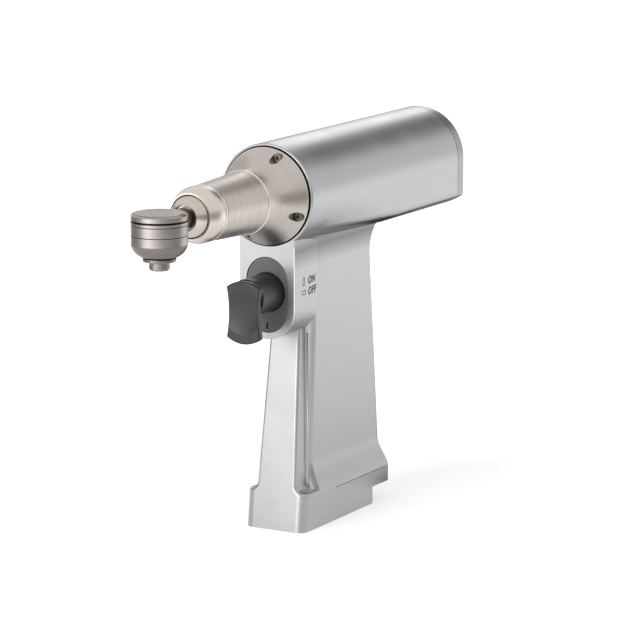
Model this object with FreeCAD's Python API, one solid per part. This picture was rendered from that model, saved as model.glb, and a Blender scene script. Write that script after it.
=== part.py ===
import FreeCAD, Part
import math
import os

# Surgical oscillating saw: a battery handpiece with a small indexing head.
# Millimetres. The shapes are drawn about the barrel's axis (x = 0, z = 0), with
# the barrel's front face on y = 0 and the nose towards -Y. place() then sets the
# handpiece on its foot: +Z up, origin in the battery face, between its lips.

V = FreeCAD.Vector
Y_AXIS = V(0, 1, 0)
Z_AXIS = V(0, 0, 1)

# Fits
FIT = 0.05
SLEEVE_FIT = 0.06
RUNNING = 0.03
SEAL_FIT = 0.03
JOINT_GAP = 0.15

# Barrel
BARREL_R = 19.0
BARREL_LENGTH = 112.5
ROUND_LENGTH = 16.0
KEEL_START = 66.0
KEEL_SIDE_Z = 6.0 - BARREL_R
KEEL_CORNER_R = 2.2
KEEL_BOTTOM_Z = -BARREL_R - 0.8
FRONT_WALL = 8.0
MOTOR_BORE_R = BARREL_R - 3.0
COUPLING_BORE_R = MOTOR_BORE_R - 1.4
MOTOR_SEAT_Y = 22.0
FLANGE_SEAT_DEPTH = 1.2
FLANGE_GAP = 0.5
RIM_CHAMFER = 0.4

# Grip, trigger boss and foot
AXIS_HEIGHT = 124.0
GRIP_HALF = 9.2
SADDLE_R = 5.0
SADDLE_BITE = 0.08
BOSS_BOTTOM_Z = -52.2
BOSS_HALF = 11.2
BOSS_DEPTH = 21.0
SHOULDER_TOP_Y = 17.5
SHOULDER_FOOT_Y = 15.0
SHOULDER_R = 2.6
GRIP_REAR_TOP_Y = 62.5
GRIP_REAR_RAKE = 0.0887
GRIP_REAR_R = 3.0
REAR_SADDLE_R = 11.0
REAR_SADDLE_BITE = 2.2
FLARE_TOP_Z = -AXIS_HEIGHT + 25.5
GRIP_REAR_START_Z = KEEL_BOTTOM_Z + REAR_SADDLE_BITE - REAR_SADDLE_R
GRIP_REAR_FOOT_Y = GRIP_REAR_TOP_Y + GRIP_REAR_RAKE * (GRIP_REAR_START_Z - FLARE_TOP_Z)
FOOT_TOP_Z = -AXIS_HEIGHT + 12.3
FOOT_HALF = 12.4
FOOT_FRONT_Y = 4.4
FOOT_FRONT_R = 3.5
FOOT_REAR_Y = 71.4
FOOT_REAR_R = 3.0
NOTCH_Z = -AXIS_HEIGHT + 6.4
NOTCH_Y = 57.8
ORIGIN_Y = 29.9
SPINE_TOP_Y = 13.2
SPINE_TOP_Z = -48.0
SPINE_HALF_TOP = 6.0
SPINE_HALF_FOOT = 8.0
SPINE_COVE_R = 3.0
SPINE_GROOVE_R = 0.9
SPINE_EDGE_R = 1.1
LEDGE_RISE = 1.8

# Pocket for the electronics, and the battery's slide
POCKET_HALF = 8.2
POCKET_FRONT_Y = 24.0
POCKET_REAR_Y = 57.0
POCKET_TOP_Z = -28.0
WIRE_HOLE_R = 3.6
WIRE_HOLE_Y = 49.0
RAIL_HALF = 9.5
RAIL_MOUTH_HALF = 7.4
RAIL_LIP = 2.4
RAIL_FRONT_Y = 9.5
BLOCK_HALF = 9.0
BLOCK_FRONT_Y = 12.0
BLOCK_REAR_Y = 47.0
BLOCK_TOP_Z = NOTCH_Z + 5.4
BLOCK_SCREW_X = 5.5
BLOCK_SCREW_Y = 17.0
BLOCK_SCREW_TIP_Z = BLOCK_TOP_Z + 7.2
CONTACT_Y = (27.0, 32.0, 37.0, 42.0)
CONTACT_R = 0.9
CONTACT_PROUD = 0.6
CONTACT_TIP_CHAMFER = 0.4
BOARD_X = 6.2
BOARD_LOW_Z = -AXIS_HEIGHT + 16.0
DRIVER_LOW_Z = -AXIS_HEIGHT + 24.0
DRIVER_TOP_Z = -48.0
CHANNEL_HALF = 2.8
CHANNEL_Z = -MOTOR_BORE_R - 1.6
CHANNEL_REAR_Y = 84.0

# Trigger and selector, on their own axis
TRIGGER_Z = -34.9
TRIGGER_MAGNET_LENGTH = 3.0
STEM_R = 6.9
STEM_BORE_R = 4.2
STEM_REAR_Y = 12.0
SLEEVE_WALL = 0.75
GUIDE_WALL = 0.7
GUIDE_REAR_Y = 21.0
SLEEVE_R = STEM_R + SLEEVE_FIT + SLEEVE_WALL
GUIDE_R = SLEEVE_R + RUNNING + GUIDE_WALL
SENSOR_THICKNESS = 2.6
SPRING_R = 3.4
SPRING_WIRE_R = 0.32
SPRING_TURNS = 7
SPRING_POST_R = 2.5
SEAL_ROOM = 1.1
DETENT_R = 1.0
DETENT_Y = 16.0
DETENT_TOP_Z = -22.5
DETENT_TURNS = 4
KEY_HALF = 1.0
KEY_DEPTH = 0.75
KEY_FRONT_Y = 8.6
KEY_REAR_Y = 11.6
KEYWAY_FRONT_Y = 3.2
STEM_FLOOR_Y = -8.0
HEAD_SPIGOT_R = 4.0
HEAD_SPIGOT_L = 1.2
HEAD_EDGE_R = 0.7
HEAD_DISH_R = 45.0
HEAD_DISH_DEPTH = 0.7
BEZEL_HALF = 8.5
BEZEL_TOP_Z = -22.1
BEZEL_BOTTOM_Z = -49.7
BEZEL_THICKNESS = 2.6
BEZEL_SUNK = 0.25
HEAD_FRONT_Y = -17.0
HEAD_THICKNESS = 3.0
HEAD_BACK_Y = HEAD_FRONT_Y + HEAD_THICKNESS
HEAD_CENTRE_Z = -39.8
HEAD_DISC_R = 11.4
HEAD_HALF = 6.9
HEAD_WAIST = 0.9

# Nose
FLANGE_R = BARREL_R - 1.25
FLANGE_EDGE = 0.6
NECK_REAR_R = 11.3
NECK_REAR_Y = -17.3
NECK_FRONT_R = 10.1
NECK_FRONT_Y = -42.8
COLLAR_FRONT_Y = -52.5
COLLAR_LIP_R = 8.3
DOME_R = 7.6
SPIGOT_R = 12.4
SPIGOT_REAR_Y = 11.0
JOURNAL_R = 7.0
JOURNAL_REAR_Y = -35.3
NOSE_SCREW_CIRCLE_R = FLANGE_R - 2.15
NOSE_SCREW_R = 0.95
NOSE_SCREW_HEAD_R = 1.6
NOSE_SCREW_HEAD_H = 1.5
NOSE_SCREW_SEAT_Y = -0.9
SCREW_R = 1.25
SCREW_HEAD_R = 2.1
SCREW_HEAD_H = 1.9
NOSE_SCREW_ANGLES = (67.5, -22.5, -112.5, 157.5)
NOSE_SCREW_TIP_Y = 6.4
NECK_STEP = 0.3
CONE_MID_R = 13.5
CONE_MID_Y = -7.4
COLLAR_THREAD_R = 8.9
COLLAR_MID_R = 9.62
COLLAR_MID_Y = -49.8
NOSE_FRONT_Y = -50.3
CLIP_FRONT_Y = -44.9
CLIP_REAR_Y = -43.9
CLIP_OUT_R = 7.75
CLIP_IN_R = 6.3
O_RING_REAR_Y = 6.4
O_RING_FRONT_Y = 5.0
O_RING_FLOOR_R = 11.35
NOSE_BEARING_Y = -32.0
BEARING_SPREAD = 26.0
INDEX_BALL_R = 0.9
INDEX_SPRING_R = 9.35
INDEX_SPRING_HALF = 0.9
DIMPLE_DEPTH = 0.6
DOME_EDGE_Y = -52.0
DOME_MID_R = 6.3
DOME_MID_Y = -54.3
DOME_TIP_Y = -55.6
NECK_RECESS_R = 4.8
NECK_RECESS = 1.2
INDEX_STEPS = 8
INDEX_Y = -47.0

# Motor and drive line
SHAFT_R = 2.5
BEARING_OUT_R = 6.5
BEARING_WIDTH = 4.0
STATOR_LENGTH = 32.0
STATOR_BORE_R = MOTOR_BORE_R - 7.4
MAGNET_R = STATOR_BORE_R - 0.6
BELL_DEPTH = 8.0
BELL_WALL = 1.1
QUILL_R = 1.8
CRANK_OFFSET = 0.35
CRANK_R = 0.9
CRANK_SLEEVE_R = 1.35
CRANK_TIP = 4.6
CRANK_SLEEVE_REACH = 7.9
CRANK_SHOULDER_R = 1.1
CRANK_SHOULDER_REACH = 9.1
QUILL_REAR_Y = -34.5
ROTOR_FRONT_Y = 14.0
ROTOR_REAR_Y = 76.0
COUPLING_R = 4.6
COUPLING_HALF = 5.5
STATOR_FRONT_Y = MOTOR_SEAT_Y + BELL_DEPTH
REAR_BELL_END_Y = STATOR_FRONT_Y + STATOR_LENGTH + BELL_DEPTH
BELL_END = 2.2
BELL_LIP = 0.6
WINDING_HEIGHT = 4.4
MAGNET_INSET = 1.0
BALANCE_WIDTH = 2.2
BOARD_THICKNESS = 1.6
BOARD_FRONT_Y = REAR_BELL_END_Y + 1.5
BOARD_POST_CIRCLE_R = MOTOR_BORE_R - 5
LOCK_RING_LENGTH = 8.0
MOTOR_LEAD_R = 0.7
LEAD_BEND_R = 2.0

# Saw head, about its own upright axis
HEAD_Y = -72.0
DRUM_R = 9.8
DRUM_TOP_Z = 4.1
BUTTON_TOP_Z = 4.35
BUTTON_R = 8.9
BUTTON_THICKNESS = 1.5
CAVITY_R = 8.0
CAVITY_FLOOR_Z = -1.9
BOWL_TOP_Z = -6.5
BOWL_BOTTOM_Z = -11.0
BOWL_BOTTOM_R = 5.5
NECK_TUBE_R = 3.7
NECK_BORE_R = 2.4
NECK_SOCKET_Y = -50.0
BLADE_SHAFT_R = 3.5
FORK_TOP_Z = 1.3
FORK_BOTTOM_Z = -1.5
FORK_HALF = 4.3
FORK_REACH = 6.4
FORK_SLOT_HALF = 2.15
BLADE_FLANGE_R = 5.8
BLADE_FLANGE_Z = -11.25
BLADE_SEAT_Z = -12.4
CLAMP_FOOT_R = 3.6
CLAMP_FOOT_Z = -15.5
CLAMP_ROD_R = 1.4
CLAMP_ROD_TOP_Z = 1.1
CLAMP_NUT_Z = 0.1
CLAMP_WELL_R = 2.6
CLAMP_WELL_Z = -4.2
CLAMP_GAP = 0.05
SHAFT_TAIL_R = 2.4
DRIVE_PIN_LENGTH = 0.4
FORK_HUB_R = 4.0
BUTTON_LEDGE_Z = 1.5
BUTTON_STEM_Z = 1.25
BUTTON_STEM_R = 1.2
GROOVE_TOP_Z = 1.7
GROOVE_TOP_DEPTH = 0.45
GROOVE_TOP_HALF = 0.35
GROOVE_MID_Z = 0.25
GROOVE_LOW_Z = -3.3
GROOVE_W = 0.14
BOWL_MID_R = 8.45
BOWL_MID_Z = -9.25
BLADE_BEARING_WIDTH = 2.9
LOWER_BEARING_Z = -9.7
DRIVE_PIN_CIRCLE_R = 4.7
DRIVE_PIN_R = 0.45
DRIVE_PIN_COUNT = 6

# Rear cover
COVER_THICKNESS = 5.8
COVER_EDGE_R = 1.3
COVER_SPIGOT = 6.0
COVER_O_RING_Y = BARREL_LENGTH - 3.3
COVER_O_RING_HALF = 0.7
COVER_SPIGOT_WALL = 2.6
COVER_O_RING_FLOOR_R = MOTOR_BORE_R - 1.1
COVER_SCREW_X = 15.3
COVER_SCREW_Z = -11.6
COVER_SCREW_TIP_Y = BARREL_LENGTH - 8.5
COVER_SCREW_SEAT_Y = BARREL_LENGTH + 2.7


def ring(r_in, r_out, y0, y1):
    """A plain ring on the barrel's axis."""
    tube = Part.makeCylinder(r_out, y1 - y0, V(0, y0, 0), Y_AXIS)
    if r_in <= 0:
        return tube
    return tube.cut(Part.makeCylinder(r_in, y1 - y0, V(0, y0, 0), Y_AXIS))


def rod_y(r, y0, y1, x=0.0, z=0.0):
    """A round bar along Y."""
    return Part.makeCylinder(r, y1 - y0, V(x, y0, z), Y_AXIS)


def rod_z(r, z0, z1, x=0.0, y=0.0):
    """A round bar along Z."""
    return Part.makeCylinder(r, z1 - z0, V(x, y, z0), Z_AXIS)


def block(x0, x1, y0, y1, z0, z1):
    """A box between two corners."""
    return Part.makeBox(x1 - x0, y1 - y0, z1 - z0, V(x0, y0, z0))


def outline(start, *steps):
    """A closed wire; a step is a point, or a (through, end) pair for an arc."""
    edges = []
    here = start
    for step in steps:
        if isinstance(step, tuple):
            edges.append(Part.Arc(here, step[0], step[1]).toShape())
            here = step[1]
        else:
            edges.append(Part.LineSegment(here, step).toShape())
            here = step
    if here.distanceToPoint(start) > 1e-6:
        edges.append(Part.LineSegment(here, start).toShape())
    return Part.Wire(edges)


def turned_y(start, *steps):
    """A solid of revolution about the barrel's axis; points are (radius, y)."""
    face = Part.Face(outline(*lift(start, steps, lambda r, y: V(r, y, 0))))
    return face.revolve(V(0, 0, 0), Y_AXIS, 360)


def turned_z(start, *steps):
    """A solid of revolution about the saw head's axis; points are (radius, z)."""
    face = Part.Face(outline(*lift(start, steps, lambda r, z: V(r, HEAD_Y, z))))
    return face.revolve(V(0, HEAD_Y, 0), Z_AXIS, 360)


def lift(start, steps, to_space):
    """The same outline, with its flat points placed in space."""
    placed = [to_space(*start)]
    for step in steps:
        if isinstance(step[0], tuple):
            placed.append((to_space(*step[0]), to_space(*step[1])))
        else:
            placed.append(to_space(*step))
    return placed


def polar(radius, degrees, y=0.0):
    """A point about the barrel's axis."""
    a = math.radians(degrees)
    return V(radius * math.cos(a), y, radius * math.sin(a))


def edges_at(shape, test):
    """The edges whose middle point passes a test."""
    found = []
    for edge in shape.Edges:
        middle = edge.valueAt(0.5 * (edge.FirstParameter + edge.LastParameter))
        if test(middle, edge):
            found.append(edge)
    return found


def coil(radius, wire, start, length, turns, axis):
    """A compression spring of square wire, standing on its start point."""
    helix = Part.makeHelix((length - 2 * wire) / turns, length - 2 * wire, radius)
    helix.translate(V(0, 0, wire))
    profile = outline(V(radius - wire, 0, 0), V(radius + wire, 0, 0),
                      V(radius + wire, 0, 2 * wire), V(radius - wire, 0, 2 * wire))
    spring = Part.Wire(helix).makePipeShell([profile], True, True)
    spring.Placement = FreeCAD.Placement(start, FreeCAD.Rotation(Z_AXIS, axis))
    return spring


def tombstone(y, grow=0.0):
    """The rear barrel section: round above, flat sides, and a shallow curved belly."""
    r = BARREL_R + grow
    corner = KEEL_CORNER_R
    middle_x = r - corner

    def at(x, z):
        return V(x, y, z)

    def corner_point(degrees, side):
        a = math.radians(degrees)
        return at(side * (middle_x + corner * math.cos(a)), KEEL_SIDE_Z + corner * math.sin(a))

    return Part.Wire([
        Part.Arc(at(-r, 0), at(0, r), at(r, 0)).toShape(),
        Part.LineSegment(at(r, 0), at(r, KEEL_SIDE_Z)).toShape(),
        Part.Arc(corner_point(0, 1), corner_point(-32, 1), corner_point(-65, 1)).toShape(),
        Part.Arc(corner_point(-65, 1), at(0, KEEL_BOTTOM_Z - grow),
                 corner_point(-65, -1)).toShape(),
        Part.Arc(corner_point(-65, -1), corner_point(-32, -1), corner_point(0, -1)).toShape(),
        Part.LineSegment(at(-r, KEEL_SIDE_Z), at(-r, 0)).toShape(),
    ])


def round_section(y):
    """The front barrel section, cut into the same six stretches as the rear one."""
    angles = [180, 0, -40, -52, -128, -140, -180]
    edges = []
    for a, b in zip(angles, angles[1:]):
        edges.append(Part.Arc(polar(BARREL_R, a, y), polar(BARREL_R, (a + b) / 2, y),
                              polar(BARREL_R, b, y)).toShape())
    return Part.Wire(edges)


def barrel_body():
    """The outside of the barrel: round in front, with a keel growing towards the rear."""
    front = rod_y(BARREL_R, 0, ROUND_LENGTH)
    front = front.makeChamfer(RIM_CHAMFER, edges_at(front, lambda m, e: abs(m.y) < 1e-4 and e.Closed))
    change = Part.makeLoft([round_section(ROUND_LENGTH), tombstone(KEEL_START)], True, False)
    rear = Part.Face(tombstone(KEEL_START)).extrude(V(0, BARREL_LENGTH - KEEL_START, 0))
    return front.fuse([change, rear])


def mirror_x(point):
    return V(-point.x, point.y, point.z)


def saddle():
    """The stretch between barrel and grip: its sides curve out to meet the barrel tangent."""
    reach = BARREL_R + SADDLE_R - SADDLE_BITE
    middle = V(GRIP_HALF + SADDLE_R, 0, 0)
    middle.z = -math.sqrt(reach ** 2 - middle.x ** 2)
    touch = middle * (1 - SADDLE_R / reach)
    side = V(GRIP_HALF, 0, middle.z)
    bow = middle + ((touch - middle).normalize() + (side - middle).normalize()).normalize() * SADDLE_R
    low = V(GRIP_HALF, 0, middle.z - SADDLE_R)
    wire = outline(touch, (bow, side), low, mirror_x(low), mirror_x(side),
                   (mirror_x(bow), mirror_x(touch)))
    return Part.Face(wire).extrude(V(0, GRIP_REAR_TOP_Y + REAR_SADDLE_R, 0))


def trigger_boss():
    """The rounded block that carries the trigger; it narrows backwards to the grip's width."""
    wires = []
    for half, y in ((BOSS_HALF, 0), (GRIP_HALF, BOSS_DEPTH)):
        low = BOSS_BOTTOM_Z + half
        wires.append(outline(V(-half, y, 0), V(-half, y, low),
                             (V(0, y, BOSS_BOTTOM_Z), V(half, y, low)), V(half, y, 0)))
    return Part.makeLoft(wires, True, True)


def grip_profile(half, low_z):
    """The grip's side view as a slab, with a hollow curve up to the barrel's belly behind."""
    top_z = KEEL_BOTTOM_Z + REAR_SADDLE_BITE
    c = REAR_SADDLE_R * (1 - math.sqrt(0.5))
    rear_top = V(-half, GRIP_REAR_TOP_Y, GRIP_REAR_START_Z)
    saddle_end = V(-half, GRIP_REAR_TOP_Y + REAR_SADDLE_R, top_z)
    saddle_mid = V(-half, GRIP_REAR_TOP_Y + c, top_z - c)
    wire = outline(V(-half, SHOULDER_TOP_Y, 0), V(-half, SHOULDER_TOP_Y, BOSS_BOTTOM_Z),
                   V(-half, SHOULDER_FOOT_Y, low_z), V(-half, GRIP_REAR_FOOT_Y, low_z),
                   rear_top, (saddle_mid, saddle_end), V(-half, saddle_end.y, 0))
    return Part.Face(wire).extrude(V(2 * half, 0, 0))


def grip_body():
    """The broad part of the grip, with its four upright edges rounded."""
    slab = grip_profile(GRIP_HALF, FLARE_TOP_Z)
    front = edges_at(slab, lambda m, e: abs(abs(m.x) - GRIP_HALF) < 0.01
                     and m.y < SHOULDER_TOP_Y + 0.01 and m.z < -5 and e.Length > 20)
    slab = slab.makeFillet(SHOULDER_R, front)
    rear = edges_at(slab, lambda m, e: abs(abs(m.x) - GRIP_HALF) < 0.01
                    and m.y > GRIP_REAR_TOP_Y - 1 and FLARE_TOP_Z < m.z < KEEL_BOTTOM_Z
                    and e.Length > 20)
    return slab.makeFillet(GRIP_REAR_R, rear)


def rounded_plan(half, front_y, rear_y, front_r, rear_r, z):
    """A rectangle with rounded corners on the plane z."""
    c = 1 - math.sqrt(0.5)
    return outline(
        V(-half + front_r, front_y, z), V(half - front_r, front_y, z),
        (V(half - c * front_r, front_y + c * front_r, z), V(half, front_y + front_r, z)),
        V(half, rear_y - rear_r, z),
        (V(half - c * rear_r, rear_y - c * rear_r, z), V(half - rear_r, rear_y, z)),
        V(-half + rear_r, rear_y, z),
        (V(-half + c * rear_r, rear_y - c * rear_r, z), V(-half, rear_y - rear_r, z)),
        V(-half, front_y + front_r, z),
        (V(-half + c * front_r, front_y + c * front_r, z), V(-half + front_r, front_y, z)))


def flare(grip):
    """The grip widening to its foot in an ogee that starts on the grip's own end face."""
    drop = FLARE_TOP_Z - FOOT_TOP_Z
    widen = FOOT_HALF - GRIP_HALF
    rear = FOOT_REAR_Y - GRIP_REAR_FOOT_Y
    end_face = min(grip.Faces, key=lambda face: face.CenterOfMass.z)
    sections = [end_face.OuterWire]
    for share, spread in ((0.25, 0.06), (0.6, 0.5), (0.85, 0.88), (1.0, 1.0)):
        sections.append(rounded_plan(GRIP_HALF + spread * widen, SHOULDER_FOOT_Y,
                                     GRIP_REAR_FOOT_Y + spread * rear, SHOULDER_R,
                                     GRIP_REAR_R + spread * (FOOT_REAR_R - GRIP_REAR_R),
                                     FLARE_TOP_Z - share * drop))
    return Part.makeLoft(sections, True, False)


def foot_block():
    """The foot: full length above, stepped back at the rear for the battery's latch."""
    upper = Part.Face(rounded_plan(FOOT_HALF, SHOULDER_FOOT_Y - SHOULDER_R, FOOT_REAR_Y, 1.0,
                                   FOOT_REAR_R, NOTCH_Z)).extrude(V(0, 0, FOOT_TOP_Z - NOTCH_Z))
    lower = Part.Face(rounded_plan(FOOT_HALF, SHOULDER_FOOT_Y - SHOULDER_R, NOTCH_Y, 1.0,
                                   1.0, -AXIS_HEIGHT)).extrude(V(0, 0, AXIS_HEIGHT + NOTCH_Z))
    return upper.fuse(lower)


def front_frame():
    """The raked front: a narrow spine that sweeps out to the foot's full width."""
    half = SPINE_HALF_FOOT
    cove = SPINE_COVE_R
    ledge = FOOT_TOP_Z + LEDGE_RISE
    c = 1 - math.sqrt(0.5)
    top = V(SPINE_HALF_TOP, 0, SPINE_TOP_Z)
    cove_start = V(half, 0, ledge + cove)
    cove_middle = V(half + c * cove, 0, ledge + c * cove)
    cove_end = V(half + cove, 0, ledge)
    ledge_end = V(FOOT_HALF, 0, ledge)
    base = V(FOOT_HALF, 0, -AXIS_HEIGHT)
    deep = Part.Face(outline(
        top, cove_start, (cove_middle, cove_end), ledge_end, base, mirror_x(base),
        mirror_x(ledge_end), mirror_x(cove_end), (mirror_x(cove_middle), mirror_x(cove_start)),
        mirror_x(top))).extrude(V(0, SHOULDER_FOOT_Y + SHOULDER_R, 0))
    rake = outline(V(-FOOT_HALF, SPINE_TOP_Y, SPINE_TOP_Z), V(-FOOT_HALF, FOOT_FRONT_Y, -AXIS_HEIGHT),
                   V(-FOOT_HALF, FOOT_REAR_Y, -AXIS_HEIGHT), V(-FOOT_HALF, FOOT_REAR_Y, SPINE_TOP_Z))
    frame = deep.common(Part.Face(rake).extrude(V(2 * FOOT_HALF, 0, 0)))
    corners = edges_at(frame, lambda m, e: abs(abs(m.x) - FOOT_HALF) < 0.01
                       and m.y < FOOT_FRONT_Y + 3 and e.Length > 8 and m.z < FOOT_TOP_Z - 3)
    frame = frame.makeFillet(FOOT_FRONT_R, corners)
    spine_rims = edges_at(frame, lambda m, e: abs(m.y - rake_y(m.z)) < 0.02
                          and abs(m.x) < FOOT_HALF - FOOT_FRONT_R and -AXIS_HEIGHT + 1 < m.z
                          and m.z < SPINE_TOP_Z - 1)
    ledge_rims = edges_at(frame, lambda m, e: abs(m.z - ledge) < 0.01 and abs(m.x) > cove_end.x + 0.5
                          and m.y < SHOULDER_FOOT_Y + SHOULDER_R - 0.1)
    return frame.makeFillet(SPINE_EDGE_R, spine_rims + ledge_rims)


def rake_y(z):
    """How far back the raked front plane lies at a height."""
    share = (SPINE_TOP_Z - z) / (SPINE_TOP_Z + AXIS_HEIGHT)
    return SPINE_TOP_Y + share * (FOOT_FRONT_Y - SPINE_TOP_Y)


def spine_half(z):
    """The spine's half width at a height, above its cove."""
    foot_z = FOOT_TOP_Z + LEDGE_RISE + SPINE_COVE_R
    share = (SPINE_TOP_Z - z) / (SPINE_TOP_Z - foot_z)
    return SPINE_HALF_TOP + min(share, 1.0) * (SPINE_HALF_FOOT - SPINE_HALF_TOP)


def groove_strip(side, z_top, y_top, z_low, y_low):
    """A hollow strip in the corner between the spine and the grip's shoulder."""
    r = SPINE_GROOVE_R
    c = r * (1 - math.sqrt(0.5))
    sunk = 0.4
    wires = []
    for z, y in ((z_top, y_top), (z_low, y_low)):
        x = spine_half(z)
        wires.append(outline(
            V(side * (x - sunk), y + sunk, z), V(side * (x - sunk), y - r, z),
            V(side * x, y - r, z), (V(side * (x + c), y - c, z), V(side * (x + r), y, z)),
            V(side * (x + r), y + sunk, z)))
    return Part.makeLoft(wires, True, True)


def groove_strips():
    """The hollow runs down both sides of the spine, in straight stretches."""
    foot_z = FOOT_TOP_Z + LEDGE_RISE
    stops = [(SPINE_TOP_Z, SHOULDER_TOP_Y), (BOSS_BOTTOM_Z, SHOULDER_TOP_Y),
             (FLARE_TOP_Z, SHOULDER_FOOT_Y), (foot_z + SPINE_COVE_R, SHOULDER_FOOT_Y),
             (foot_z - 0.5, SHOULDER_FOOT_Y)]
    strips = []
    for side in (-1, 1):
        for upper, lower in zip(stops, stops[1:]):
            strips.append(groove_strip(side, upper[0], upper[1], lower[0], lower[1]))
    return strips


def grip_outside():
    """Grip, foot and trigger boss, reaching up into the barrel."""
    saddle_body = saddle()
    behind_face = saddle_body.common(block(-BARREL_R, BARREL_R, 0, BOSS_DEPTH, BOSS_BOTTOM_Z, 0))
    over_grip = saddle_body.common(block(-BARREL_R, BARREL_R, SHOULDER_TOP_Y,
                                         GRIP_REAR_TOP_Y - GRIP_REAR_R, BOSS_BOTTOM_Z, 0))
    grip = grip_body()
    pieces = [flare(grip), foot_block(), front_frame(), over_grip, behind_face, trigger_boss()]
    return grip.fuse(pieces + groove_strips())


def barrel_bores():
    """The stepped bore of the barrel, from its flange seat to its open rear."""
    rear = BARREL_LENGTH + 1
    cuts = [
        rod_y(FLANGE_R + FLANGE_GAP, -1, FLANGE_SEAT_DEPTH),
        rod_y(SPIGOT_R + FIT, 0, FRONT_WALL + 1),
        rod_y(COUPLING_BORE_R, FRONT_WALL, MOTOR_SEAT_Y + 1),
        rod_y(MOTOR_BORE_R, MOTOR_SEAT_Y, rear),
    ]
    for angle in NOSE_SCREW_ANGLES:
        at = polar(NOSE_SCREW_CIRCLE_R, angle)
        cuts.append(rod_y(NOSE_SCREW_R + FIT, 0, NOSE_SCREW_TIP_Y + 0.4, at.x, at.z))
    for side in (-1, 1):
        cuts.append(rod_y(SCREW_R + FIT, COVER_SCREW_TIP_Y - 0.4, rear, side * COVER_SCREW_X,
                          COVER_SCREW_Z))
    return cuts


def bezel_outline(grow, y):
    """The upright rounded slot of the trigger's bezel."""
    r = BEZEL_HALF + grow
    top = BEZEL_TOP_Z - BEZEL_HALF
    low = BEZEL_BOTTOM_Z + BEZEL_HALF
    return outline(V(-r, y, low), (V(0, y, low - r), V(r, y, low)), V(r, y, top),
                   (V(0, y, top + r), V(-r, y, top)))


def trigger_bores():
    """The trigger's pocket: bezel recess, guide bore and the detent's hole."""
    recess = Part.Face(bezel_outline(FIT, -1.0)).extrude(V(0, 1.0 + BEZEL_SUNK + BEZEL_THICKNESS, 0))
    guide = rod_y(GUIDE_R + FIT, 0, POCKET_FRONT_Y + 1, 0, TRIGGER_Z)
    detent = rod_z(DETENT_R + FIT, TRIGGER_Z + SLEEVE_R, DETENT_TOP_Z, 0, DETENT_Y)
    return [recess, guide, detent]


def grip_pockets():
    """The electronics pocket, its way up to the motor, and the battery's slide below."""
    slide_z = NOTCH_Z
    lip_z = -AXIS_HEIGHT + RAIL_LIP
    behind = NOTCH_Y + 1
    cuts = [
        block(-POCKET_HALF, POCKET_HALF, POCKET_FRONT_Y, POCKET_REAR_Y, BLOCK_TOP_Z, POCKET_TOP_Z),
        rod_z(WIRE_HOLE_R, POCKET_TOP_Z - 1, CHANNEL_Z + 0.5, 0, WIRE_HOLE_Y),
        block(-CHANNEL_HALF, CHANNEL_HALF, WIRE_HOLE_Y - WIRE_HOLE_R, CHANNEL_REAR_Y, CHANNEL_Z,
              -MOTOR_BORE_R + 3),
        block(-BLOCK_HALF - FIT, BLOCK_HALF + FIT, BLOCK_FRONT_Y - FIT, BLOCK_REAR_Y + FIT,
              slide_z, BLOCK_TOP_Z),
        block(-RAIL_HALF, RAIL_HALF, RAIL_FRONT_Y, behind, lip_z, slide_z),
        block(-RAIL_MOUTH_HALF, RAIL_MOUTH_HALF, RAIL_FRONT_Y, behind, -AXIS_HEIGHT - 1, lip_z),
    ]
    for side in (-1, 1):
        cuts.append(rod_z(SCREW_R + FIT, BLOCK_TOP_Z, BLOCK_SCREW_TIP_Z + 0.4, side * BLOCK_SCREW_X,
                          BLOCK_SCREW_Y))
    return cuts


def main_housing():
    """The handpiece's one-piece casting: barrel and grip, each hollowed before they join."""
    hollows = barrel_bores() + trigger_bores() + grip_pockets()
    return barrel_body().cut(hollows).fuse(grip_outside().cut(hollows))


# Nose


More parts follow.
